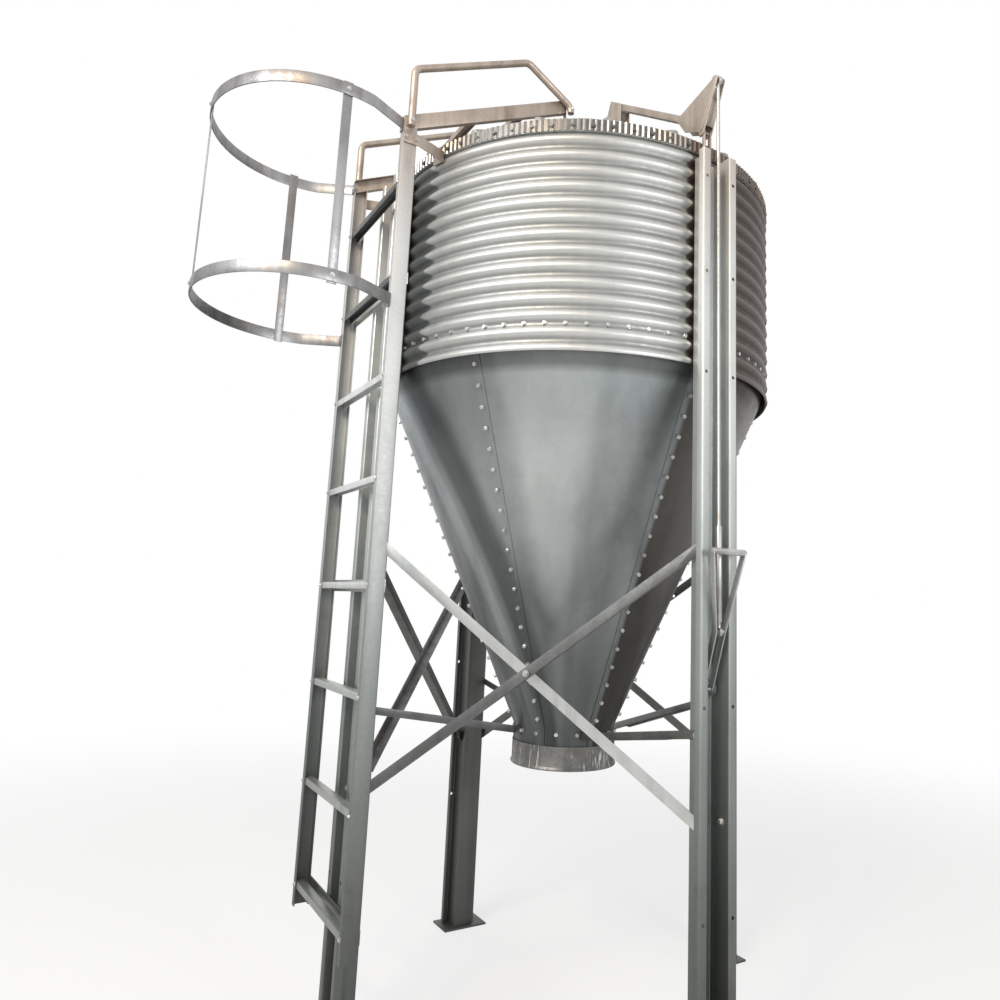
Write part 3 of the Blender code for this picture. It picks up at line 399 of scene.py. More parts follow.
@dataclass(frozen=True)
class Zinc:
    """A galvanized finish with crystals, clouds, runs and soiling.

    Height light and shade are tints at heights in metres, which paint light and shade by height.
    """

    light: Triple
    dark: Triple
    dirt: Triple = (0.16, 0.15, 0.13)
    metallic: float = 0.75
    roughness: float = 0.36
    crystals: float = 70.0
    fine_crystals: float = 2.7
    crystal_share: float = 0.30
    crystal_depth: float = 0.00005
    cloud_scale: float = 3.1
    cloud_detail: float = 5.0
    cloud_share: float = 0.35
    runs: Triple = (26.0, 26.0, 1.3)
    streak_share: float = 0.30
    sweep_share: float = 0.0
    valley_share: float = 0.0
    grooves: int = 0
    groove_share: float = 0.80
    dirt_share: float = 0.25
    dents: float = 0.0
    scratches: float = 0.0
    scratch: Triple = (0.72, 0.72, 0.70)
    levels: tuple[tuple[float, Triple], ...] = ()
    sectors: tuple[PaintedLightSector, ...] = ()

    def tone(self, graph: Graph, crystal: Num, cloud: Num, streak: Num) -> Num:
        """Mixes the patterns into one number.

        Args:
            graph: the material's graph.
            crystal: the coarse crystals.
            cloud: the clouds.
            streak: the upright runs.

        Returns:
            0 for the light colour and 1 for the dark one.
        """
        fine = graph.crystals(self.crystals * self.fine_crystals)
        tone = (
            (crystal * 0.7 + fine * 0.3) * self.crystal_share
            + cloud.step(0.32, 0.68) * self.cloud_share
            + streak.step(0.36, 0.66) * self.streak_share
        )
        # Darker in the eave's flute grooves: painted shade.
        if self.grooves:
            ridge = (graph.bearing() * float(self.grooves) + math.pi / 2).sine()
            tone = tone + (1.0 - ridge.step(-0.7, 0.3)) * self.groove_share
        # Soft lighter and darker bands round the hopper: painted reflections.
        if self.sweep_share:
            reflection_band = graph.noise(1.0, 1.5, graph.wrapped(2.7, 0.8))
            tone = tone + reflection_band.step(0.36, 0.64) * self.sweep_share
        # Darker in the corrugation's valleys: painted shade.
        if self.valley_share:
            tone = tone + graph.wave().step(-0.45, 0.85) * self.valley_share
        return tone

    def material(self, name: str) -> bpy.types.Material:
        """Builds the finish.

        Args:
            name: the material's name.

        Returns:
            The material.
        """
        graph = Graph(bpy.data.materials.new(name))
        crystal = graph.crystals(self.crystals)
        cloud = graph.noise(self.cloud_scale, self.cloud_detail)
        streak = graph.noise(1.0, 4.0, graph.stretched(self.runs))
        soil = graph.noise(9.0, 8.0).step(0.50, 0.74)
        colour = graph.mix(self.tone(graph, crystal, cloud, streak), self.light, self.dark)
        stain = soil * streak.step(0.42, 0.60) * self.dirt_share
        colour = graph.mix(stain, colour, self.dirt)
        # Tints by height: painted light and shade.
        if self.levels:
            stops = tuple((height / TALLEST, tint) for height, tint in self.levels)
            values = {"Fac": graph.along("Z") * (1.0 / TALLEST)}
            ramp = graph.node("ValToRGB", {"stops": stops}, values)
            colour = graph.mix(1.0, colour, ramp.outputs["Color"], "MULTIPLY")
        # Painted light and shade by bearing round the silo.
        for sector in self.sectors:
            colour = sector.over(graph, colour)
        rough = self.roughness + 0.10 * (cloud - 0.5) + 0.08 * crystal + 0.25 * stain
        normal = graph.bump(crystal, self.crystal_depth)
        if self.dents:
            dent = graph.noise(3.6, 2.0) + 0.35 * graph.noise(11.0, 1.0)
            normal = graph.bump(dent, self.dents, normal)
        if self.scratches:
            scratch = graph.noise(1.0, 2.0, graph.wrapped(34.0, 13.0)).step(0.57, 0.63)
            patch = graph.noise(14.0, 3.0).step(0.42, 0.58)
            mark = scratch * patch * self.scratches
            colour = graph.mix(mark, colour, self.scratch)
            rough = rough - 0.12 * mark
        inputs = graph.shader.inputs
        graph.feed(inputs["Base Color"], colour)
        graph.feed(inputs["Roughness"], rough)
        graph.feed(inputs["Metallic"], self.metallic)
        graph.feed(inputs["Normal"], normal)
        return graph.owner


# Painted shade on the legs, stiles and brackets: darker towards the foot, and darker and warmer
# under the eave.
LEG_HEIGHT_SHADE = (
    (0.30, (0.19, 0.20, 0.19)),
    (0.60, (0.26, 0.275, 0.265)),
    (1.05, (0.43, 0.455, 0.445)),
    (1.55, (0.66, 0.68, 0.67)),
    (2.10, (0.92, 0.93, 0.92)),
    (2.60, (1.00, 0.99, 0.98)),
    (3.05, (0.82, 0.72, 0.66)),
)


def bar_zinc(light: Triple, dark: Triple, roughness: float, **changes: object) -> Zinc:
    """Returns the finish of a bar, whose crystals are small."""
    return Zinc(light, dark, roughness=roughness, **{"crystals": 120.0, **changes})


class Finish(Enum):
    """The finishes of the silo's pieces."""

    # The wall is darker in its valleys and slightly darker under the eave: painted shade.
    WALL = Zinc(
        (0.53, 0.54, 0.535), (0.25, 0.26, 0.26), metallic=0.80, roughness=0.42,
        crystal_share=0.05, cloud_share=0.10, streak_share=0.06, valley_share=0.80,
        dirt_share=0.10,
        levels=((2.2, WHITE), (2.8, (1.0, 1.0, 0.99)), (3.05, (0.86, 0.84, 0.82))),
        sectors=(
            # Painted shade on the side turned from the lamps.
            PaintedLightSector(-49.8, -49.0, 40.0, 110.0, (0.27, 0.215, 0.195), -0.6),
            # Painted shadow of leg a and the ladder, its edge rippled by the corrugation.
            PaintedLightSector(-176.0, -155.0, -122.6, -121.2, (0.34, 0.36, 0.355), 1.5),
        ),
    )
    # The eave band is darker in its flute grooves: painted shade.
    EAVE = Zinc(
        (0.45, 0.43, 0.41), (0.13, 0.122, 0.115), grooves=240, metallic=0.80,
        roughness=0.30, crystal_share=0.10, streak_share=0.25,
        # Painted shade on the side turned from the lamps.
        sectors=(PaintedLightSector(-51.0, -48.0, 40.0, 110.0, (0.62, 0.50, 0.44)),),
    )
    # The hopper darkens towards the outlet and has a dark band under the wall's lip: painted shade
    # and a painted shadow.
    HOPPER = Zinc(
        (0.45, 0.485, 0.49), (0.18, 0.195, 0.20), roughness=0.33, crystals=30.0,
        crystal_share=0.07, cloud_scale=1.6, cloud_detail=2.0, cloud_share=0.34,
        streak_share=0.05, sweep_share=0.50, dirt_share=0.08, dents=0.0030,
        levels=(
            (0.90, (0.24, 0.25, 0.245)),
            (1.20, (0.44, 0.45, 0.445)),
            (1.60, (0.82, 0.82, 0.82)),
            (1.95, WHITE),
            (2.183, (1.00, 1.02, 1.03)),
            (2.203, (0.50, 0.50, 0.49)),
            (2.26, (0.42, 0.42, 0.41)),
        ),
        sectors=(
            # Painted shade on the side turned from the lamps.
            PaintedLightSector(-45.8, -43.5, 40.0, 110.0, (0.38, 0.33, 0.30)),
            # A slanting painted highlight beside leg a.
            PaintedLightSector(-152.0, -147.0, -143.0, -139.0, (1.45, 1.45, 1.45), 0.0, 32.0),
            # A slanting painted shadow of leg a.
            PaintedLightSector(-139.0, -134.0, -127.0, -120.0, (0.52, 0.54, 0.54), 0.0, 32.0),
        ),
    )
    ROOF = Zinc((0.42, 0.42, 0.41), (0.25, 0.25, 0.245), roughness=0.50, dirt_share=0.4)
    LEG = bar_zinc(
        (0.68, 0.70, 0.69), (0.46, 0.48, 0.475), 0.38, crystals=110.0, crystal_share=0.20,
        cloud_share=0.30, levels=LEG_HEIGHT_SHADE,
    )
    # A dark copy of the leg finish for the far legs c and d, lighter towards the top: painted
    # shade.
    FAR_LEG = bar_zinc(
        (0.20, 0.205, 0.20), (0.12, 0.12, 0.115), 0.42, crystals=110.0, crystal_share=0.20,
        levels=((0.3, (0.6, 0.62, 0.6)), (1.8, (0.95, 0.95, 0.95)), (3.0, (1.6, 1.55, 1.5))),
    )
    STILE = bar_zinc(
        (0.57, 0.58, 0.585), (0.42, 0.435, 0.435), 0.50, crystal_share=0.18,
        cloud_share=0.28, levels=LEG_HEIGHT_SHADE,
    )
    # Darker towards the bottom: painted shade.
    RUNG = bar_zinc(
        (0.80, 0.82, 0.82), (0.58, 0.60, 0.60), 0.36, crystal_share=0.18,
        levels=((0.4, (0.36, 0.37, 0.35)), (1.2, (0.70, 0.71, 0.70)), (2.0, WHITE)),
    )
    BAR = bar_zinc((0.165, 0.17, 0.17), (0.085, 0.09, 0.09), 0.38)
    # A lighter copy of the bar finish for the falling brace of a crossed pair: painted light.
    BRIGHT_BAR = bar_zinc(
        (0.55, 0.565, 0.565), (0.38, 0.395, 0.395), 0.34, crystal_share=0.20
    )
    ROD = bar_zinc(
        (0.52, 0.53, 0.525), (0.27, 0.275, 0.27), 0.32, dirt=(0.17, 0.13, 0.10),
        crystals=140.0, crystal_share=0.15, dirt_share=0.5,
    )
    DARK_BAR = bar_zinc((0.17, 0.175, 0.17), (0.09, 0.09, 0.085), 0.42)
    WARM_BAR = bar_zinc(
        (0.50, 0.43, 0.37), (0.26, 0.215, 0.18), 0.42, dirt=(0.14, 0.09, 0.06),
        crystal_share=0.20, dirt_share=0.6,
    )
    HOOP = bar_zinc(
        (0.40, 0.40, 0.41), (0.15, 0.148, 0.15), 0.34, dirt=(0.27, 0.19, 0.14),
        cloud_share=0.6, crystal_share=0.20, dirt_share=0.5,
    )
    COLLAR = Zinc(
        (0.26, 0.26, 0.25), (0.10, 0.10, 0.095), roughness=0.38, dirt_share=0.5,
        scratches=0.8,
    )
    BOLT = Zinc(
        (0.72, 0.72, 0.71), (0.30, 0.30, 0.295), roughness=0.30, crystals=400.0,
        dirt_share=0.4,
    )

    def material(self) -> bpy.types.Material:
        """Returns the finish's material, built once."""
        name = f"{self.name.lower()}_zinc"
        return bpy.data.materials.get(name) or self.value.material(name)


# Modelling by operators


def clear_selection() -> None:
    """Leaves edit mode and deselects every object."""
    if bpy.context.mode != "OBJECT":
        bpy.ops.object.mode_set(mode="OBJECT")
    bpy.ops.object.select_all(action="DESELECT")


def take(item: Piece) -> None:
    """Makes an object the only selected one, and active.

    Args:
        item: the object.
    """
    clear_selection()
    item.select_set(True)
    bpy.context.view_layer.objects.active = item


def edit(item: Piece) -> None:
    """Enters edit mode on an object with all of it selected.

    Args:
        item: the object.
    """
    take(item)
    bpy.ops.object.mode_set(mode="EDIT")
    bpy.ops.mesh.select_all(action="SELECT")


def pick(item: Piece, kind: str, test: Callable[..., bool]) -> None:
    """Selects only some points or faces of an object that is in edit mode.

    Args:
        item: the object.
        kind: verts or faces.
        test: tells whether a point or a face is selected.
    """
    mesh = bmesh.from_edit_mesh(item.data)
    bpy.ops.mesh.select_all(action="DESELECT")
    for part in getattr(mesh, kind):
        part.select = test(part)
    if kind == "verts":
        mesh.select_flush_mode()
    bmesh.update_edit_mesh(item.data)


def push(way: Vector) -> None:
    """Extrudes what is selected in edit mode."""
    bpy.ops.mesh.extrude_region_move(TRANSFORM_OT_translate={"value": tuple(way)})


def settle(item: Piece) -> Piece:
    """Puts an object's place into its mesh.

    Args:
        item: the object.

    Returns:
        The same object.
    """
    take(item)
    bpy.ops.object.transform_apply(location=True, rotation=True, scale=True)
    return item


def started(add: Callable[..., object], **settings: object) -> Piece:
    """Adds a primitive with its place in its mesh.

    Args:
        add: the operator that adds it.
        settings: the operator's settings.

    Returns:
        The new object.
    """
    clear_selection()
    add(**settings)
    return settle(bpy.context.object)


def evened(item: Piece) -> Piece:
    """Points all faces of an object one way.

    Args:
        item: the object.

    Returns:
        The same object.
    """
    edit(item)
    bpy.ops.mesh.normals_make_consistent(inside=False)
    bpy.ops.object.mode_set(mode="OBJECT")
    return item


def chain(name: str, points: list[Vector]) -> Piece:
    """Draws an open line of edges, extruded point by point.

    Args:
        name: the object's name.
        points: the line's points.

    Returns:
        The new object, in object mode.
    """
    clear_selection()
    bpy.ops.mesh.primitive_plane_add(size=0.001, location=points[0])
    item = bpy.context.object
    item.name = name
    edit(item)
    bpy.ops.mesh.merge(type="CENTER")
    for before, after in zip(points, points[1:]):
        push(after - before)
    return settle(item)


def pulled(item: Piece, way: Vector, steps: int = 1) -> Piece:
    """Extrudes all of a line sideways into a sheet.

    Args:
        item: the line.
        way: the whole way that it is pulled.
        steps: the number of rows of faces.

    Returns:
        The same object.
    """
    edit(item)
    for _ in range(steps):
        push(way / steps)
    return evened(item)


def spun(item: Piece, degrees: float, steps: int) -> Piece:
    """Spins a line round the silo's axis into a sheet.

    Args:
        item: the line.
        degrees: the turn, to the left seen from above.
        steps: the number of columns of faces.

    Returns:
        The same object.
    """
    edit(item)
    turn = -math.radians(degrees)
    bpy.ops.mesh.spin(steps=steps, angle=turn, center=tuple(AXIS), axis=tuple(UP))
    bpy.ops.mesh.select_all(action="SELECT")
    bpy.ops.mesh.remove_doubles(threshold=DOUBLES)
    return evened(item)


def ring(name: str, profile: list[tuple[float, float]]) -> Piece:
    """Turns a profile of radii and heights once round the silo's axis."""
    line = chain(name, [outward(0.0).at(radius, 0.0, height) for radius, height in profile])
    return spun(line, 360.0, RING_COLUMNS)


def modified(item: Piece, kind: str, **settings: object) -> Piece:
    """Adds a modifier and applies it.

    Args:
        item: the object.
        kind: the modifier's type.
        settings: its properties.

    Returns:
        The same object.
    """
    take(item)
    made = item.modifiers.new(kind.lower(), kind)
    for key, value in settings.items():
        setattr(made, key, value)
    bpy.ops.object.modifier_apply(modifier=made.name)
    return item


def thickened(item: Piece, sheet: float) -> Piece:
    """Gives a sheet its thickness, half to each side."""
    return modified(item, "SOLIDIFY", thickness=sheet, offset=0.0, use_even_offset=True)


def folded(item: Piece, radius: float) -> Piece:
    """Rounds the folds of a sheet that has no thickness yet.

    Args:
        item: the sheet.
        radius: the width of the bend.

    Returns:
        The same object.
    """
    edit(item)
    mesh = bmesh.from_edit_mesh(item.data)
    bpy.ops.mesh.select_all(action="DESELECT")
    for edge in mesh.edges:
        if len(edge.link_faces) == 2 and edge.calc_face_angle() > 0.2:
            edge.select = True
    bmesh.update_edit_mesh(item.data)
    bpy.ops.mesh.bevel(offset=radius, segments=3, affect="EDGES")
    bpy.ops.object.mode_set(mode="OBJECT")
    return item


def smoothed(item: Piece, degrees: float = 35.0) -> Piece:
    """Shades an object smooth below an angle.

    Args:
        item: the object.
        degrees: the angle.

    Returns:
        The same object.
    """
    take(item)
    bpy.ops.object.shade_smooth_by_angle(angle=math.radians(degrees))
    return item


def softened(item: Piece, width: float) -> Piece:
    """Bevels a solid's sharp edges by a width, and shades it smooth."""
    modified(item, "BEVEL", width=width, segments=2, limit_method="ANGLE", angle_limit=0.6)
    return smoothed(item)


def joined(name: str, items: list[Piece]) -> Piece:
    """Joins objects into one.

    Args:
        name: the name of the result.
        items: the objects.

    Returns:
        The joined object.
    """
    take(items[0])
    for item in items:
        item.select_set(True)
    bpy.ops.object.join()
    items[0].name = name
    return items[0]


def linked(name: str, data: bpy.types.ID) -> Piece:
    """Puts a mesh, a camera or a lamp into the scene.

    Args:
        name: the object's name.
        data: what the object holds.

    Returns:
        The new object.
    """
    made = bpy.data.objects.new(name, data)
    bpy.context.collection.objects.link(made)
    return made


def copied(item: Piece, place: Matrix) -> Piece:
    """Copies an object.

    Args:
        item: the object.
        place: the move of the copy's mesh.

    Returns:
        The copy, with a mesh of its own.
    """
    mesh = item.data.copy()
    mesh.transform(place)
    return linked(item.name + "_copy", mesh)


def facing(point: Vector, normal: Vector) -> Matrix:
    """Returns the place of a fitting that stands at a point along a normal."""
    turn = normal.to_track_quat("Z", "Y").to_matrix().to_4x4()
    return Matrix.Translation(point) @ turn


def rounded(path: list[Vector], radius: float, steps: int = 6) -> list[Vector]:
    """Rounds the inner corners of a path.

    Args:
        path: the path's corners.
        radius: the bend's radius.
        steps: the number of pieces of each bend.

    Returns:
        The points of the rounded path.
    """
    result = [path[0]]
    for before, corner, after in zip(path, path[1:], path[2:]):
        way_in = (corner - before).normalized()
        way_out = (after - corner).normalized()
        turn = way_in.angle(way_out)
        start = corner - way_in * (radius * math.tan(turn / 2))
        inward = (way_out - way_in * way_in.dot(way_out)).normalized()
        for step in range(steps + 1):
            swing = turn * step / steps
            along = way_in * radius * math.sin(swing)
            result.append(start + along + inward * radius * (1 - math.cos(swing)))
    result.append(path[-1])
    return result


# Sub-assemblies


class SubAssembly:
    """A group of pieces that are built and dressed together."""

    def keep(self, item: Piece, finish: Finish, *nodes: str, body: Body = Body.FRAME) -> Piece:
        """Dresses a piece and hangs it on its body.

        Args:
            item: the piece, with its place in its mesh.
            finish: its finish.
            nodes: the solid nodes that it stands for.
            body: the body that it rides on.

        Returns:
            The same piece.
        """
        item.data.materials.clear()
        item.data.materials.append(finish.material())
        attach(item, body.value)
        if nodes:
            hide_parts(*nodes)
        log.info("%s: %s, %d faces", type(self).__name__, item.name, len(item.data.polygons))
        return item

    def refine(self, node: str, finish: Finish, body: Body = Body.FRAME) -> Piece:
        """Stands a copy of a node, with its edges taken off, in the node's place.

        Args:
            node: the node's name.
            finish: the finish of the copy.
            body: the body that the node rides on.

        Returns:
            The copy.
        """
        item = linked(node + "_finished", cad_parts[node].data.copy())
        edit(item)
        bpy.ops.mesh.remove_doubles(threshold=DOUBLES)
        bpy.ops.mesh.dissolve_limited(angle_limit=math.radians(1.0))
        return self.keep(softened(item, EDGE), finish, node, body=body)


@dataclass
class Bolt:
    """A hexagon bolt head on a washer."""

    flats: float
    height: float
    washer: float
    washer_sheet: float = 0.0016
    spin: float = 1.7

    def model(self) -> Piece:
        """Models one bolt at the origin, with its head along +Z.

        Returns:
            The bolt, which is copied and then removed.
        """
        add = bpy.ops.mesh.primitive_cylinder_add
        middle = (0.0, 0.0, self.washer_sheet / 2)
        washer = started(
            add, vertices=14, radius=self.washer / 2, depth=self.washer_sheet, location=middle
        )
        middle = (0.0, 0.0, self.washer_sheet + self.height / 2)
        corner = self.flats / math.sqrt(3.0)
        head = started(add, vertices=6, radius=corner, depth=self.height, location=middle)
        edit(head)
        pick(head, "faces", lambda face: face.normal.z > 0.9)
        bpy.ops.mesh.bevel(offset=self.height / 5, segments=1, affect="EDGES")
        return joined("bolt", [washer, head])

    def row(self, name: str, spots: list[Spot]) -> Piece:
        """Copies the bolt to many spots.

        Args:
            name: the name of the joined piece.
            spots: each bolt's seat and the way that its head faces.

        Returns:
            The joined piece.
        """
        model = self.model()
        bolts = []
        for number, (point, normal) in enumerate(spots):
            spin = Matrix.Rotation(self.spin * number, 4, "Z")
            bolts.append(copied(model, facing(point, normal) @ spin))
        bpy.data.objects.remove(model, do_unlink=True)
        return joined(name, bolts)


@dataclass
class Wall(SubAssembly):
    """The corrugated wall: two sheets, their laps and their bolts.

    The roll is the lower lip's line, from the crest's radius and the lower edge.
    """

    radius: float = 0.764
    depth: float = 0.0125
    lip: float = 0.022
    roll: tuple[tuple[float, float], ...] = (
        (-0.006, 0.003), (-0.002, 0.001), (0.0, 0.005), (0.0, 0.014)
    )
    sheet: float = 0.002
    samples: int = 8
    columns: int = 96
    lap: float = 2.4
    bolts_round: int = 70
    first_bolt: float = 1.3
    bolt_wave: int = 1
    flat_top: float = 0.030

    def __post_init__(self) -> None:
        """Takes the wall's height and its corrugation from the solid sheets."""
        low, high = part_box("wall_sheet_1")
        self.bottom, self.top = low.z, high.z
        self.pitch = (high.z - low.z - self.lip) / WAVES

    def profile(self, place: Place, lift: float) -> list[Vector]:
        """Draws the corrugated line at one place.

        Args:
            place: the frame that the line stands in.
            lift: how far the line stands out from the sheet's middle.

        Returns:
            The line's points from bottom to top.
        """
        crest = self.radius + self.depth / 2 + lift
        points = [place.at(crest + out, 0.0, self.bottom + up) for out, up in self.roll]
        for step in range(WAVES * self.samples + 1):
            swing = math.sin(2 * math.pi * step / self.samples) * self.depth / 2
            height = self.bottom + self.lip + self.pitch * step / self.samples
            if height > self.top - self.flat_top:
                swing = max(swing, 0.0)
            points.append(place.at(self.radius - swing + lift, 0.0, height))
        return points

    def valley(self, wave: int) -> float:
        """Returns the height of a valley of the corrugation."""
        return self.bottom + self.lip + self.pitch * (wave + 0.25)

    def roll_out(
        self, name: str, start: float, span: float, columns: int, lift: float, *nodes: str
    ) -> None:
        """Builds one corrugated sheet.

        Args:
            name: the sheet's name.
            start: the angle of its first edge, in degrees.
            span: the angle that it covers, in degrees.
            columns: the number of columns of faces.
            lift: how far it stands out from the wall's middle.
            nodes: the solid nodes that it stands for.
        """
        line = chain(name, self.profile(outward(start), lift))
        item = thickened(spun(line, span, columns), self.sheet)
        self.keep(smoothed(item, ROUND_SHADING), Finish.WALL, *nodes)

    def build(self) -> None:
        """Builds the two sheets, the two laps and the bolts."""
        for name, start, first in (("front", -180.0, 3), ("back", 0.0, 1)):
            nodes = [f"wall_sheet_{first}", f"wall_sheet_{first + 1}"]
            self.roll_out(f"wall_{name}", start, 180.0, self.columns, 0.0, *nodes)
        seat = self.radius - self.depth / 2
        spots = []
        for name, middle in (("right", 0.0), ("left", 180.0)):
            start = middle - self.lap / 2
            self.roll_out(f"wall_lap_{name}", start, self.lap, 3, self.sheet)
            for wave in range(WAVES):
                out = seat + 1.5 * self.sheet
                spots.append(outward(middle).seat(out, 0.0, self.valley(wave)))
        height = self.valley(self.bolt_wave)
        spots += around(self.bolts_round, self.first_bolt, seat + self.sheet / 2, height)
        self.keep(Bolt(0.012, 0.007, 0.017).row("wall_bolts", spots), Finish.BOLT)


@dataclass
class Hopper(SubAssembly):
    """The cone hopper: panels, laps, bolts and the outlet collar."""

    panels: int = 6
    first_seam: float = 15.0
    flange: float = 0.7505
    flange_top: float = 2.338
    cone_top: float = 2.255
    cone_bottom: float = 0.988
    neck: float = 0.191
    neck_bottom: float = 0.914
    sheet: float = 0.002
    columns: int = 18
    lap_width: float = 0.030
    bolts_a_seam: int = 19
    neck_bolts: int = 16
    neck_bolt_height: float = 0.972
    first_neck_bolt: float = 4.0
    collar_sheet: float = 0.003

    def line(self, place: Place, lift: float) -> list[Vector]:
        """Draws the panel's line at one place.

        Args:
            place: the frame that the line stands in.
            lift: how far the line stands out from the sheet's middle.

        Returns:
            The line's points from top to bottom.
        """
        profile = (
            (self.flange, self.flange_top),
            (self.flange, self.cone_top + 0.012),
            (self.flange - 0.001, self.cone_top + 0.002),
            (self.flange - 0.006, self.cone_top - 0.010),
            (self.neck, self.cone_bottom),
            (self.neck, self.neck_bottom),
        )
        return [place.at(out + lift, 0.0, height) for out, height in profile]

    def radius(self, height: float) -> float:
        """Returns the cone's radius at a height."""
        share = (height - self.cone_bottom) / (self.cone_top - self.cone_bottom)
        return self.neck + share * (self.flange - self.neck)

    def build(self) -> None:
        """Builds the panels, their laps and bolts, and the collar."""
        angle = 360.0 / self.panels
        slope = Vector((self.cone_top - self.cone_bottom, self.flange - self.neck)).normalized()
        spots = []
        for number in range(self.panels):
            place = outward(self.first_seam + number * angle)
            line = chain(f"hopper_sheet_{number + 1}", self.line(place, 0.0))
            sheet = thickened(spun(line, angle, self.columns), self.sheet)
            self.keep(smoothed(sheet, 30.0), Finish.HOPPER, f"hopper_panel_{number + 1}")
            width = self.lap_width if number % 2 == 0 else -self.lap_width
            shift = place.way(0.0, width / 3, 0.0)
            lap = [point - shift for point in self.line(place, self.sheet)[3:]]
            strip = chain(f"hopper_lap_{number + 1}", lap)
            strip = thickened(pulled(strip, place.way(0.0, width, 0.0), 2), self.sheet)
            self.keep(smoothed(strip), Finish.HOPPER)
            for bolt in range(self.bolts_a_seam):
                share = (bolt + 0.6) / (self.bolts_a_seam + 0.2)
                height = self.cone_top + share * (self.cone_bottom - self.cone_top)
                out = self.radius(height) + self.sheet * 1.7
                spots.append(place.seat(out, 0.0, height, (slope.x, 0.0, -slope.y)))
        seat = self.neck + self.sheet / 2
        spots += around(self.neck_bolts, self.first_neck_bolt, seat, self.neck_bolt_height)
        self.keep(Bolt(0.0125, 0.0085, 0.0150).row("hopper_bolts", spots), Finish.BOLT)
        self.build_collar()

    def build_collar(self) -> None:
        """Builds the outlet collar with its rolled lower edge."""
        low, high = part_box("outlet_collar")
        outside = (high.x - low.x) / 2
        radius = outside - 0.0065
        profile = [
            (radius, high.z),
            (radius, low.z + 0.014),
            (radius + 0.002, low.z + 0.010),
            (outside - 0.0025, low.z + 0.007),
            (outside - 0.0018, low.z + 0.004),
            (outside - 0.0035, low.z + 0.0016),
        ]
        item = thickened(ring("outlet_ring", profile), self.collar_sheet)
        self.keep(smoothed(item, ROUND_SHADING), Finish.COLLAR, "outlet_collar")


@dataclass
class Roof(SubAssembly):
    """The roof panels, the crimped eave, the filling collar and their bolts."""

    panels: int = 4
    eave: float = 0.776
    skirt_out: float = 0.768
    skirt: float = 0.0415
    sheet: float = 0.0016
    flutes: int = 240
    flute: float = 0.0036
    fold_in: float = 0.7585
    fold_sheet: float = 0.001
    bolts_round: int = 70
    first_bolt: float = 1.3
    collar_sheet: float = 0.003

    def build(self) -> None:
        """Builds the eave and the collar, and refines the roof panels."""
        for number in range(self.panels):
            self.tighten(self.refine(f"roof_panel_{number + 1}", Finish.ROOF))
        self.build_eave()
        low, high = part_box("filling_collar")
        radius = (high.x - low.x - self.collar_sheet) / 2
        item = ring("filling_ring", [(radius, low.z), (radius, high.z)])
        item = smoothed(thickened(item, self.collar_sheet), ROUND_SHADING)
        self.keep(item, Finish.ROOF, "filling_collar")

    def tighten(self, item: Piece) -> None:
        """Draws a panel's skirt in, so that the band and its bolts fit round it.

        Args:
            item: the finished roof panel.
        """
        edit(item)
        skirt_in = self.eave - 0.003
        pick(item, "verts", lambda vertex: (vertex.co - AXIS).to_2d().length > skirt_in)
        shrink = self.skirt_out / self.eave
        bpy.ops.transform.resize(value=(shrink, shrink, 1.0), center_override=AXIS)
        bpy.ops.object.mode_set(mode="OBJECT")

    def on_flute(self, vertex: bmesh.types.BMVert) -> bool:
        """Tells whether a point of the band's circle is on the crest of a flute."""
        spoke = vertex.co - AXIS
        return math.cos(math.atan2(spoke.y, spoke.x) * self.flutes) > 0.5

    def build_eave(self) -> None:
        """Builds the crimped band round the eave, its fold and its bolts."""
        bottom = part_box("roof_panel_1")[0].z
        radius = self.skirt_out + self.sheet * 0.75
        fold = ring("eave_fold", [(self.fold_in, bottom + 0.0008), (radius, bottom - 0.0002)])
        fold = smoothed(thickened(fold, self.fold_sheet), ROUND_SHADING)
        # The fold takes the light rung finish, which lightens its shaded underside: painted light.
        self.keep(fold, Finish.RUNG)
        add = bpy.ops.mesh.primitive_circle_add
        centre = (AXIS.x, AXIS.y, bottom)
        band = started(add, vertices=self.flutes * 4, radius=radius, location=centre)
        band.name = "eave_band"
        edit(band)
        pick(band, "verts", self.on_flute)
        grow = (radius + self.flute) / radius
        bpy.ops.transform.resize(value=(grow, grow, 1.0), center_override=centre)
        bpy.ops.mesh.select_all(action="SELECT")
        push(UP * self.skirt)
        self.keep(smoothed(thickened(evened(band), self.sheet), 25.0), Finish.EAVE)
        seat, height = radius + self.flute * 0.35, bottom + self.skirt * 0.45
        spots = around(self.bolts_round, self.first_bolt, seat, height)
        self.keep(Bolt(0.011, 0.0038, 0.017).row("eave_bolts", spots), Finish.BAR)


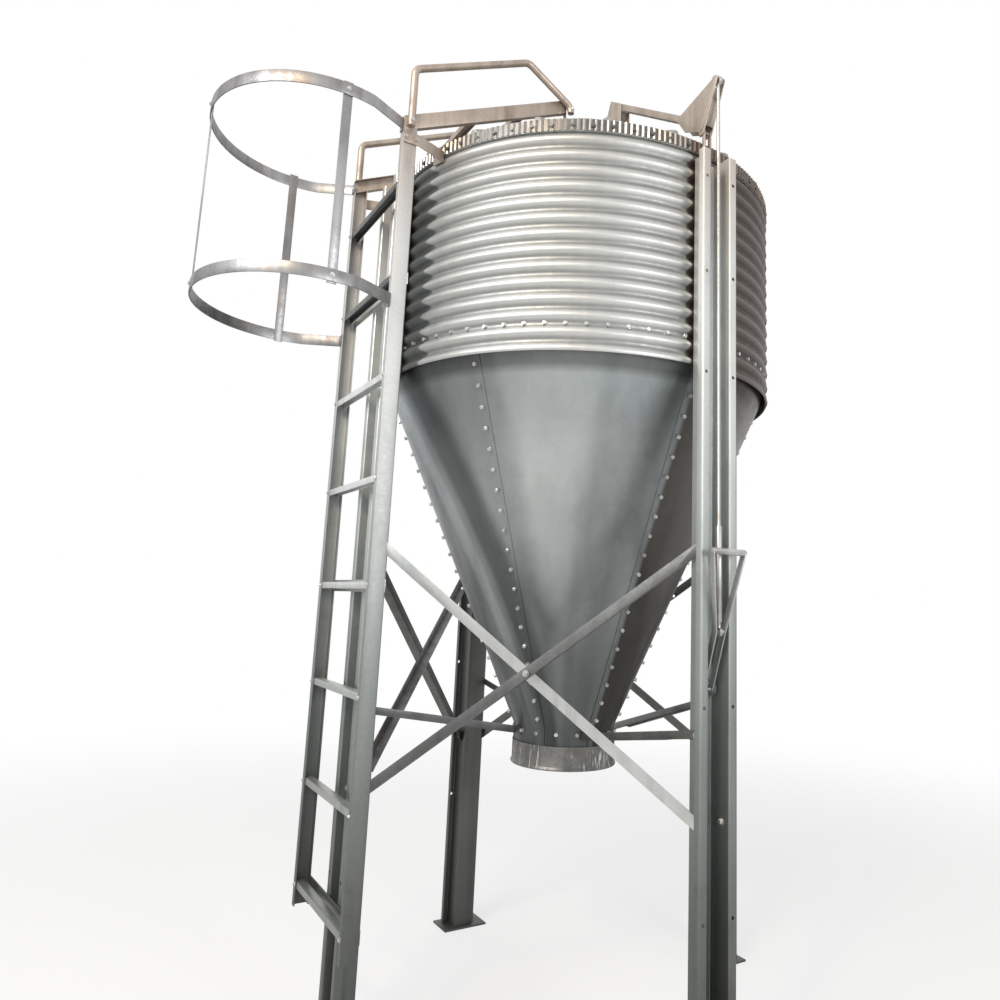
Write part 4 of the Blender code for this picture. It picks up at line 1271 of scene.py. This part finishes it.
@dataclass
class Leg(SubAssembly):
    """One leg: a folded hat section with holes in its lips."""

    name: str
    inside: float = 0.7718
    web: float = 0.090
    depth: float = 0.081
    lip: float = 0.030
    lip_return: float = 0.024
    sheet: float = 0.003
    bend: float = 0.004
    top: float = 2.966
    foot: float = 0.008
    foot_depth: float = 0.130
    foot_width: float = 0.200
    holes: tuple[float, ...] = (0.555, 1.152, 2.190, 2.530, 2.866)
    hole: float = 0.012

    def build(self) -> None:
        """Builds the folded section, its holes and its foot plate."""
        place = outward(LEG_PLACES[self.name])
        half = (self.web - self.sheet) / 2
        inner = self.inside + self.sheet / 2
        outer = self.inside + self.depth - self.sheet / 2
        lip = self.web / 2 + self.lip - self.sheet / 2
        back = self.inside + self.depth - self.lip_return
        right = [(back, -lip), (outer, -lip), (outer, -half), (inner, -half)]
        section = right + [(out, -aside) for out, aside in reversed(right)]
        points = [place.at(out, aside, self.foot) for out, aside in section]
        post = pulled(chain(f"leg_section_{self.name}", points), UP * (self.top - self.foot))
        thickened(folded(post, self.bend), self.sheet)
        self.pierce(post, place, (lip + half) / 2)
        plate = started(
            bpy.ops.mesh.primitive_cube_add,
            size=1.0,
            location=place.at(self.inside + self.depth / 2, 0.0, self.foot / 2),
            rotation=(0.0, 0.0, place.turn),
            scale=(self.foot_depth, self.foot_width, self.foot),
        )
        softened(plate, 0.0012)
        item = smoothed(joined(f"leg_folded_{self.name}", [post, plate]), 30.0)
        # The far legs c and d take the dark copy of the leg finish: painted shade.
        finish = Finish.LEG if self.name in "ab" else Finish.FAR_LEG
        self.keep(item, finish, f"leg_{self.name}")

    def pierce(self, post: Piece, place: Place, aside: float) -> None:
        """Cuts the holes through both lips.

        Args:
            post: the leg.
            place: the leg's frame.
            aside: the distance of the holes from the leg's middle.
        """
        drills = []
        add = bpy.ops.mesh.primitive_cylinder_add
        for height in self.holes:
            for side in Side:
                drill = started(add, vertices=16, radius=self.hole / 2, depth=0.02)
                spot = place.seat(self.inside + self.depth, side.value * aside, height)
                drill.matrix_world = facing(*spot)
                drills.append(settle(drill))
        drill = joined("drills", drills)
        modified(post, "BOOLEAN", operation="DIFFERENCE", object=drill, solver="EXACT")
        bpy.data.objects.remove(drill, do_unlink=True)


@dataclass
class Bracing(SubAssembly):
    """The crossed braces and the ties, with the bolts at their ends."""

    seat: float = 0.820
    flange: float = 0.0483
    flange_inside: float = 0.0419
    low: float = 0.816
    high: float = 1.626
    half_span: float = 0.532
    crossing: float = 0.6099
    tie: float = 1.066
    tie_seat: float = 0.805

    def build(self) -> None:
        """Refines the bars and adds their bolts."""
        for name in SIDE_PLACES:
            item = self.refine(
                f"cross_brace_{name}", Finish.BAR if name == "front" else Finish.DARK_BAR
            )
            # The falling bars of the front and left braces get a lighter finish, the left one the
            # hoop's: painted light.
            if name in ("front", "left"):
                self.brighten(item, Finish.BRIGHT_BAR if name == "front" else Finish.HOOP)
        for name in LEG_PLACES:
            self.refine(f"tie_{name}", Finish.DARK_BAR if name in "bc" else Finish.BAR)
        spots = []
        for degrees in LEG_PLACES.values():
            place = outward(degrees)
            for side in Side:
                for height in (self.low, self.high):
                    spots += self.through(place, self.seat, side.value, height)
            spots += self.through(place, self.tie_seat, Side.LEFT.value, self.tie)
        middle = (self.low + self.high) / 2
        for degrees in SIDE_PLACES.values():
            spots.append(outward(degrees).seat(self.crossing, 0.0, middle))
        self.keep(Bolt(0.013, 0.006, 0.022).row("brace_bolts", spots), Finish.BOLT)

    def through(self, place: Place, out: float, side: int, height: float) -> list[Spot]:
        """Returns the two seats of a bolt through the side of a leg's channel."""
        ends = ((self.flange, side), (self.flange_inside, -side))
        return [place.seat(out, side * far, height, (0.0, way, 0.0)) for far, way in ends]

    def brighten(self, item: Piece, finish: Finish) -> None:
        """Dresses the falling one of two crossed bars in a lighter finish, as painted light on it.

        Args:
            item: the side's crossed bars.
            finish: the lighter finish, which paints the light.
        """
        item.data.materials.append(finish.material())
        place = outward(SIDE_PLACES[item.name.split("_")[2]])
        middle = place.at(0.0, 0.0, (self.low + self.high) / 2)
        along = place.way(0.0, 1.0, 0.0)
        slope = (self.high - self.low) / (2 * self.half_span)
        for face in item.data.polygons:
            fall = (face.center - middle).dot(along) * -slope
            rise = face.center.z - middle.z
            face.material_index = 1 if abs(rise - fall) < abs(rise + fall) else 0


@dataclass
class Ladder(SubAssembly):
    """The ladder, its cage, the roof ladder, the handrails and the struts.

    A side bolt is its distance out, how far it stands past the stile, and its height.
    """

    side: float = 0.270
    stile_out: float = 0.9074
    hoop_heights: tuple[float, ...] = (2.405, 3.030)
    hoop_centre: float = 1.120
    hoop_radius: float = 0.345
    hoop_bar: float = 0.040
    hoop_sheet: float = 0.004
    hoop_tab: float = 0.025
    straps: tuple[float, ...] = (-90.0, 0.0, 90.0)
    strap: float = 0.030
    strap_sheet: float = 0.003
    strap_over: float = 0.006
    rail: float = 0.026
    rail_bend: float = 0.035
    rail_slope: float = 26.4
    post: float = 0.885
    post_low: float = 3.026
    post_top: float = 3.240
    turn_down: float = 0.446
    end: float = 0.250
    end_drop: float = 0.108
    end_low: float = 3.325
    rung_first: float = 0.480
    rung_pitch: float = 0.337
    rungs: int = 8
    rung_bolt: float = 0.256
    rung_bolt_drop: float = 0.011
    hoop_bolt: float = 0.257
    side_bolts: tuple[Triple, ...] = (
        (0.858, 0.0045, 2.989), (0.897, 0.0045, 2.989), (0.885, 0.026, 3.044), (0.250, 0.026, 3.338)
    )

    def build(self) -> None:
        """Builds the cage and the handrails, and refines the rest."""
        for side in ("right", "left"):
            self.refine(f"ladder_stile_{side}", Finish.STILE)
            self.refine(f"roof_stringer_{side}", Finish.WARM_BAR)
            self.refine(f"eave_strut_{side}", Finish.WARM_BAR)
        for number in range(self.rungs):
            # The two top rungs, inside the cage, take the dark bar finish: painted shade.
            self.refine(f"ladder_rung_{number + 1}", Finish.BAR if number > 5 else Finish.RUNG)
        for number in range(3):
            self.refine(f"ladder_bracket_{number + 1}", Finish.LEG)
        for number in range(2):
            self.refine(f"roof_rung_{number + 1}", Finish.WARM_BAR)
        self.build_cage()
        for side in Side:
            self.build_rail(side)
        self.build_bolts()

    def hoop_line(self, height: float) -> list[Vector]:
        """Draws a hoop's lower edge.

        Args:
            height: the height of the hoop's middle.

        Returns:
            The points from one stile round to the other.
        """
        face = self.stile_out + 0.0003 + self.hoop_sheet / 2
        side = self.side + self.hoop_sheet / 2
        radius = self.hoop_radius + self.hoop_sheet / 2
        arc = []
        for degrees in range(-105, 106, 5):
            turn = math.radians(degrees)
            arc.append((self.hoop_centre + radius * math.cos(turn), radius * math.sin(turn)))
        tab = side - self.hoop_tab
        line = [(face, -tab), (face, -side), *arc, (face, side), (face, tab)]
        return [LADDER_LEG.at(out, aside, height - self.hoop_bar / 2) for out, aside in line]

    def build_cage(self) -> None:
        """Builds the hoops and the straps inside them."""
        items = []
        for height in self.hoop_heights:
            hoop = pulled(chain("hoop", self.hoop_line(height)), UP * self.hoop_bar)
            items.append(thickened(hoop, self.hoop_sheet))
        low = self.hoop_heights[0] - self.hoop_bar / 2 - self.strap_over
        high = self.hoop_heights[1] + self.hoop_bar / 2 + self.strap_over
        radius = self.hoop_radius - 0.0018
        for degrees in self.straps:
            turn = math.radians(degrees)
            out = Vector((math.cos(turn), math.sin(turn)))
            middle = Vector((self.hoop_centre, 0.0)) + out * radius
            half = Vector((-out.y, out.x)) * self.strap / 2
            ends = [middle - half, middle + half]
            line = chain("strap", [LADDER_LEG.at(end.x, end.y, low) for end in ends])
            items.append(thickened(pulled(line, UP * (high - low)), self.strap_sheet))
        item = softened(joined("cage_finished", items), EDGE)
        self.keep(item, Finish.HOOP, "ladder_cage")

    def build_rail(self, side: Side) -> None:
        """Builds one bent handrail.

        Args:
            side: the side of the ladder.
        """
        slope = math.tan(math.radians(self.rail_slope))
        top = self.post_top + (self.post - self.turn_down) * slope
        aside = side.value * (self.side + 0.0004 + self.rail / 2)
        corners = (
            (self.post, self.post_low),
            (self.post, self.post_top),
            (self.turn_down, top),
            (self.end, top - self.end_drop),
            (self.end, self.end_low),
        )
        path = [LADDER_LEG.at(out, aside, height) for out, height in corners]
        name = side.name.lower()
        take(chain(f"handrail_bent_{name}", rounded(path, self.rail_bend)))
        bpy.ops.object.convert(target="CURVE")
        curve = bpy.context.object.data
        curve.bevel_depth = self.rail / 2
        curve.bevel_resolution = 4
        curve.use_fill_caps = True
        bpy.ops.object.convert(target="MESH")
        item = smoothed(bpy.context.object, 50.0)
        self.keep(item, Finish.WARM_BAR, f"handrail_{name}")

    def build_bolts(self) -> None:
        """Adds the bolts of the rungs, brackets, hoops, straps and rails."""
        place = LADDER_LEG
        spots = []
        for number in range(self.rungs):
            height = self.rung_first + number * self.rung_pitch - self.rung_bolt_drop
            for side in Side:
                spots.append(place.seat(self.stile_out, side.value * self.rung_bolt, height))
        for height in self.hoop_heights:
            for side in Side:
                face = self.stile_out + self.hoop_sheet + 0.0004
                spots.append(place.seat(face, side.value * self.hoop_bolt, height))
            for degrees in self.straps:
                turn = math.radians(degrees)
                way = place.way(math.cos(turn), math.sin(turn), 0.0)
                centre = place.at(self.hoop_centre, 0.0, height)
                spots.append((centre + way * (self.hoop_radius + self.hoop_sheet), way))
        for side in Side:
            for out, proud, height in self.side_bolts:
                aside = side.value * (self.side + proud)
                spots.append(place.seat(out, aside, height, (0.0, side.value, 0.0)))
        self.keep(Bolt(0.010, 0.0045, 0.016).row("ladder_bolts", spots), Finish.BOLT)


@dataclass
class LidGear(SubAssembly):
    """The handle, the pull rod, the lid lever and the lid."""

    lid_edge: float = 0.309
    lid_sheet: float = 0.002
    lid_slope: float = 20.0

    def build(self) -> None:
        """Refines the gear and builds the lid."""
        self.refine("handle_bracket", Finish.LEG)
        self.refine("lid_stand", Finish.WARM_BAR)
        self.refine("handle", Finish.ROD, Body.HANDLE)
        self.refine("pull_rod", Finish.ROD, Body.ROD)
        self.refine("lid_lever", Finish.WARM_BAR, Body.LID)
        self.refine("lid_post", Finish.WARM_BAR, Body.LID)
        self.build_lid()

    def build_lid(self) -> None:
        """Builds the lid's shallow cone with its turned-down edge."""
        low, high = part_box("lid")
        edge = self.lid_edge - self.lid_sheet / 2
        rise = math.tan(math.radians(self.lid_slope))
        tip = high.z - self.lid_sheet / 2
        shoulder = tip - (edge - 0.020) * rise
        profile = [
            (0.0002, tip),
            (0.020, tip - 0.0004),
            (0.030, tip - 0.010 * rise),
            (edge - 0.004, shoulder + 0.004 * rise),
            (edge, shoulder - 0.002),
            (edge, low.z + 0.001),
        ]
        item = ring("lid_cone", profile)
        edit(item)
        bpy.ops.mesh.remove_doubles(threshold=0.0003)
        item = smoothed(thickened(item, self.lid_sheet), 25.0)
        self.keep(item, Finish.ROOF, "lid", body=Body.LID)


# Floor, light and camera


@dataclass
class Studio:
    """The floor, the light and the camera.

    A lamp is its name, its place from the silo's axis, its side, its power in watts and
    its colour.
    """

    eye_out: Triple = (0.659, -3.088, 1.450)
    heading: float = 12.05
    pitch: float = 9.484
    roll: float = 1.978
    focal_pixels: float = 784.2
    principal: tuple[float, float] = (572.70, 470.98)
    image: float = 1000.0
    sensor: float = 36.0
    floor_radius: float = 60.0
    floor_colour: Triple = (0.88, 0.88, 0.88)
    floor_glow: float = 0.65
    sky: float = 0.55
    aim: float = 1.7
    lamps: tuple[tuple[str, Triple, float, float, Triple], ...] = (
        ("key_lamp", (-2.5, -5.0, 5.0), 2.8, 220.0, WHITE),
        ("side_lamp", (4.6, -4.2, 2.5), 1.6, 110.0, WHITE),
        ("warm_lamp", (-0.7, -4.4, 4.7), 0.4, 70.0, (1.0, 0.78, 0.50)),
    )

    def place_camera(self) -> None:
        """Places the camera at the photograph's viewing angle."""
        data = bpy.data.cameras.new("camera")
        data.sensor_width = self.sensor
        data.lens = self.focal_pixels / self.image * self.sensor
        data.shift_x = (self.image / 2 - self.principal[0]) / self.image
        data.shift_y = (self.principal[1] - self.image / 2) / self.image
        data.clip_end = 200.0
        camera = linked("camera", data)
        turn = Matrix.Rotation(math.radians(self.heading), 3, "Z")
        pitch, roll = math.radians(self.pitch), math.radians(self.roll)
        forward = turn @ Vector((0.0, math.cos(pitch), math.sin(pitch)))
        level = turn @ Vector((1.0, 0.0, 0.0))
        upright = level.cross(forward)
        right = math.cos(roll) * level + math.sin(roll) * upright
        above = -math.sin(roll) * level + math.cos(roll) * upright
        matrix = Matrix((right, above, -forward)).transposed().to_4x4()
        matrix.translation = AXIS + Vector(self.eye_out)
        camera.matrix_world = matrix
        bpy.context.scene.camera = camera

    def lay_floor(self) -> None:
        """Lays a pale floor that fades into the background far away."""
        floor = started(
            bpy.ops.mesh.primitive_circle_add,
            vertices=RING_COLUMNS,
            radius=self.floor_radius,
            fill_type="NGON",
            location=AXIS,
        )
        floor.name = "floor"
        graph = Graph(bpy.data.materials.new("pale_floor"))
        distance = graph.node("VectorMath", {"operation": "LENGTH"}, {0: graph.coordinates})
        far = Num(graph, distance.outputs["Value"]).step(2.2, 7.0)
        graph.feed(graph.shader.inputs["Base Color"], self.floor_colour)
        graph.feed(graph.shader.inputs["Roughness"], 0.9)
        graph.feed(graph.shader.inputs["Specular IOR Level"], 0.0)
        seen = Num(graph, graph.node("LightPath", {}, {}).outputs["Is Camera Ray"])
        glow = graph.node("Emission", {}, {"Color": WHITE, "Strength": 1.0})
        share = self.floor_glow + far * (1.0 - self.floor_glow)
        shaders = {1: graph.shader.outputs[0], 2: glow.outputs[0]}
        mixer = graph.node("MixShader", {}, {"Fac": share * seen, **shaders})
        graph.feed(graph.tree.nodes["Material Output"].inputs["Surface"], mixer.outputs[0])
        floor.data.materials.append(graph.owner)

    def light_sky(self) -> None:
        """Lights the world softly, white where the camera or a gloss sees it."""
        graph = Graph(bpy.data.worlds.new("sky"))
        plain = graph.node("Background", {}, {"Color": WHITE, "Strength": self.sky})
        white = graph.node("Background", {}, {"Color": WHITE, "Strength": 1.0})
        path = graph.node("LightPath", {}, {}).outputs
        seen = Num(graph, path["Is Camera Ray"]) + path["Is Glossy Ray"]
        seen = seen + path["Is Transmission Ray"]
        shaders = {1: plain.outputs[0], 2: white.outputs[0]}
        mixer = graph.node("MixShader", {}, {"Fac": seen, **shaders})
        graph.feed(graph.tree.nodes["World Output"].inputs["Surface"], mixer.outputs[0])
        bpy.context.scene.world = graph.owner

    def hang_lamp(
        self, name: str, spot: Triple, size: float, power: float, colour: Triple
    ) -> None:
        """Hangs a square soft lamp that faces the silo's middle.

        Args:
            name: the lamp's name.
            spot: its place from the silo's axis.
            size: its side.
            power: its power in watts.
            colour: its colour.
        """
        data = bpy.data.lights.new(name, "AREA")
        data.color = colour
        data.size = size
        data.energy = power
        lamp = linked(name, data)
        lamp.location = AXIS + Vector(spot)
        aim = Vector((0.0, 0.0, self.aim)) - Vector(spot)
        lamp.rotation_euler = aim.to_track_quat("-Z", "Y").to_euler()

    def build(self) -> None:
        """Sets up the camera, the floor and the light."""
        self.place_camera()
        self.lay_floor()
        self.light_sky()
        for lamp in self.lamps:
            self.hang_lamp(*lamp)
        bpy.context.scene.view_settings.view_transform = "Standard"


def main() -> None:
    """Builds the silo's looks in order."""
    Studio().build()
    Wall().build()
    Hopper().build()
    Roof().build()
    for name in LEG_PLACES:
        Leg(name=name).build()
    Bracing().build()
    Ladder().build()
    LidGear().build()
    clear_selection()


if __name__ == "__main__":
    main()
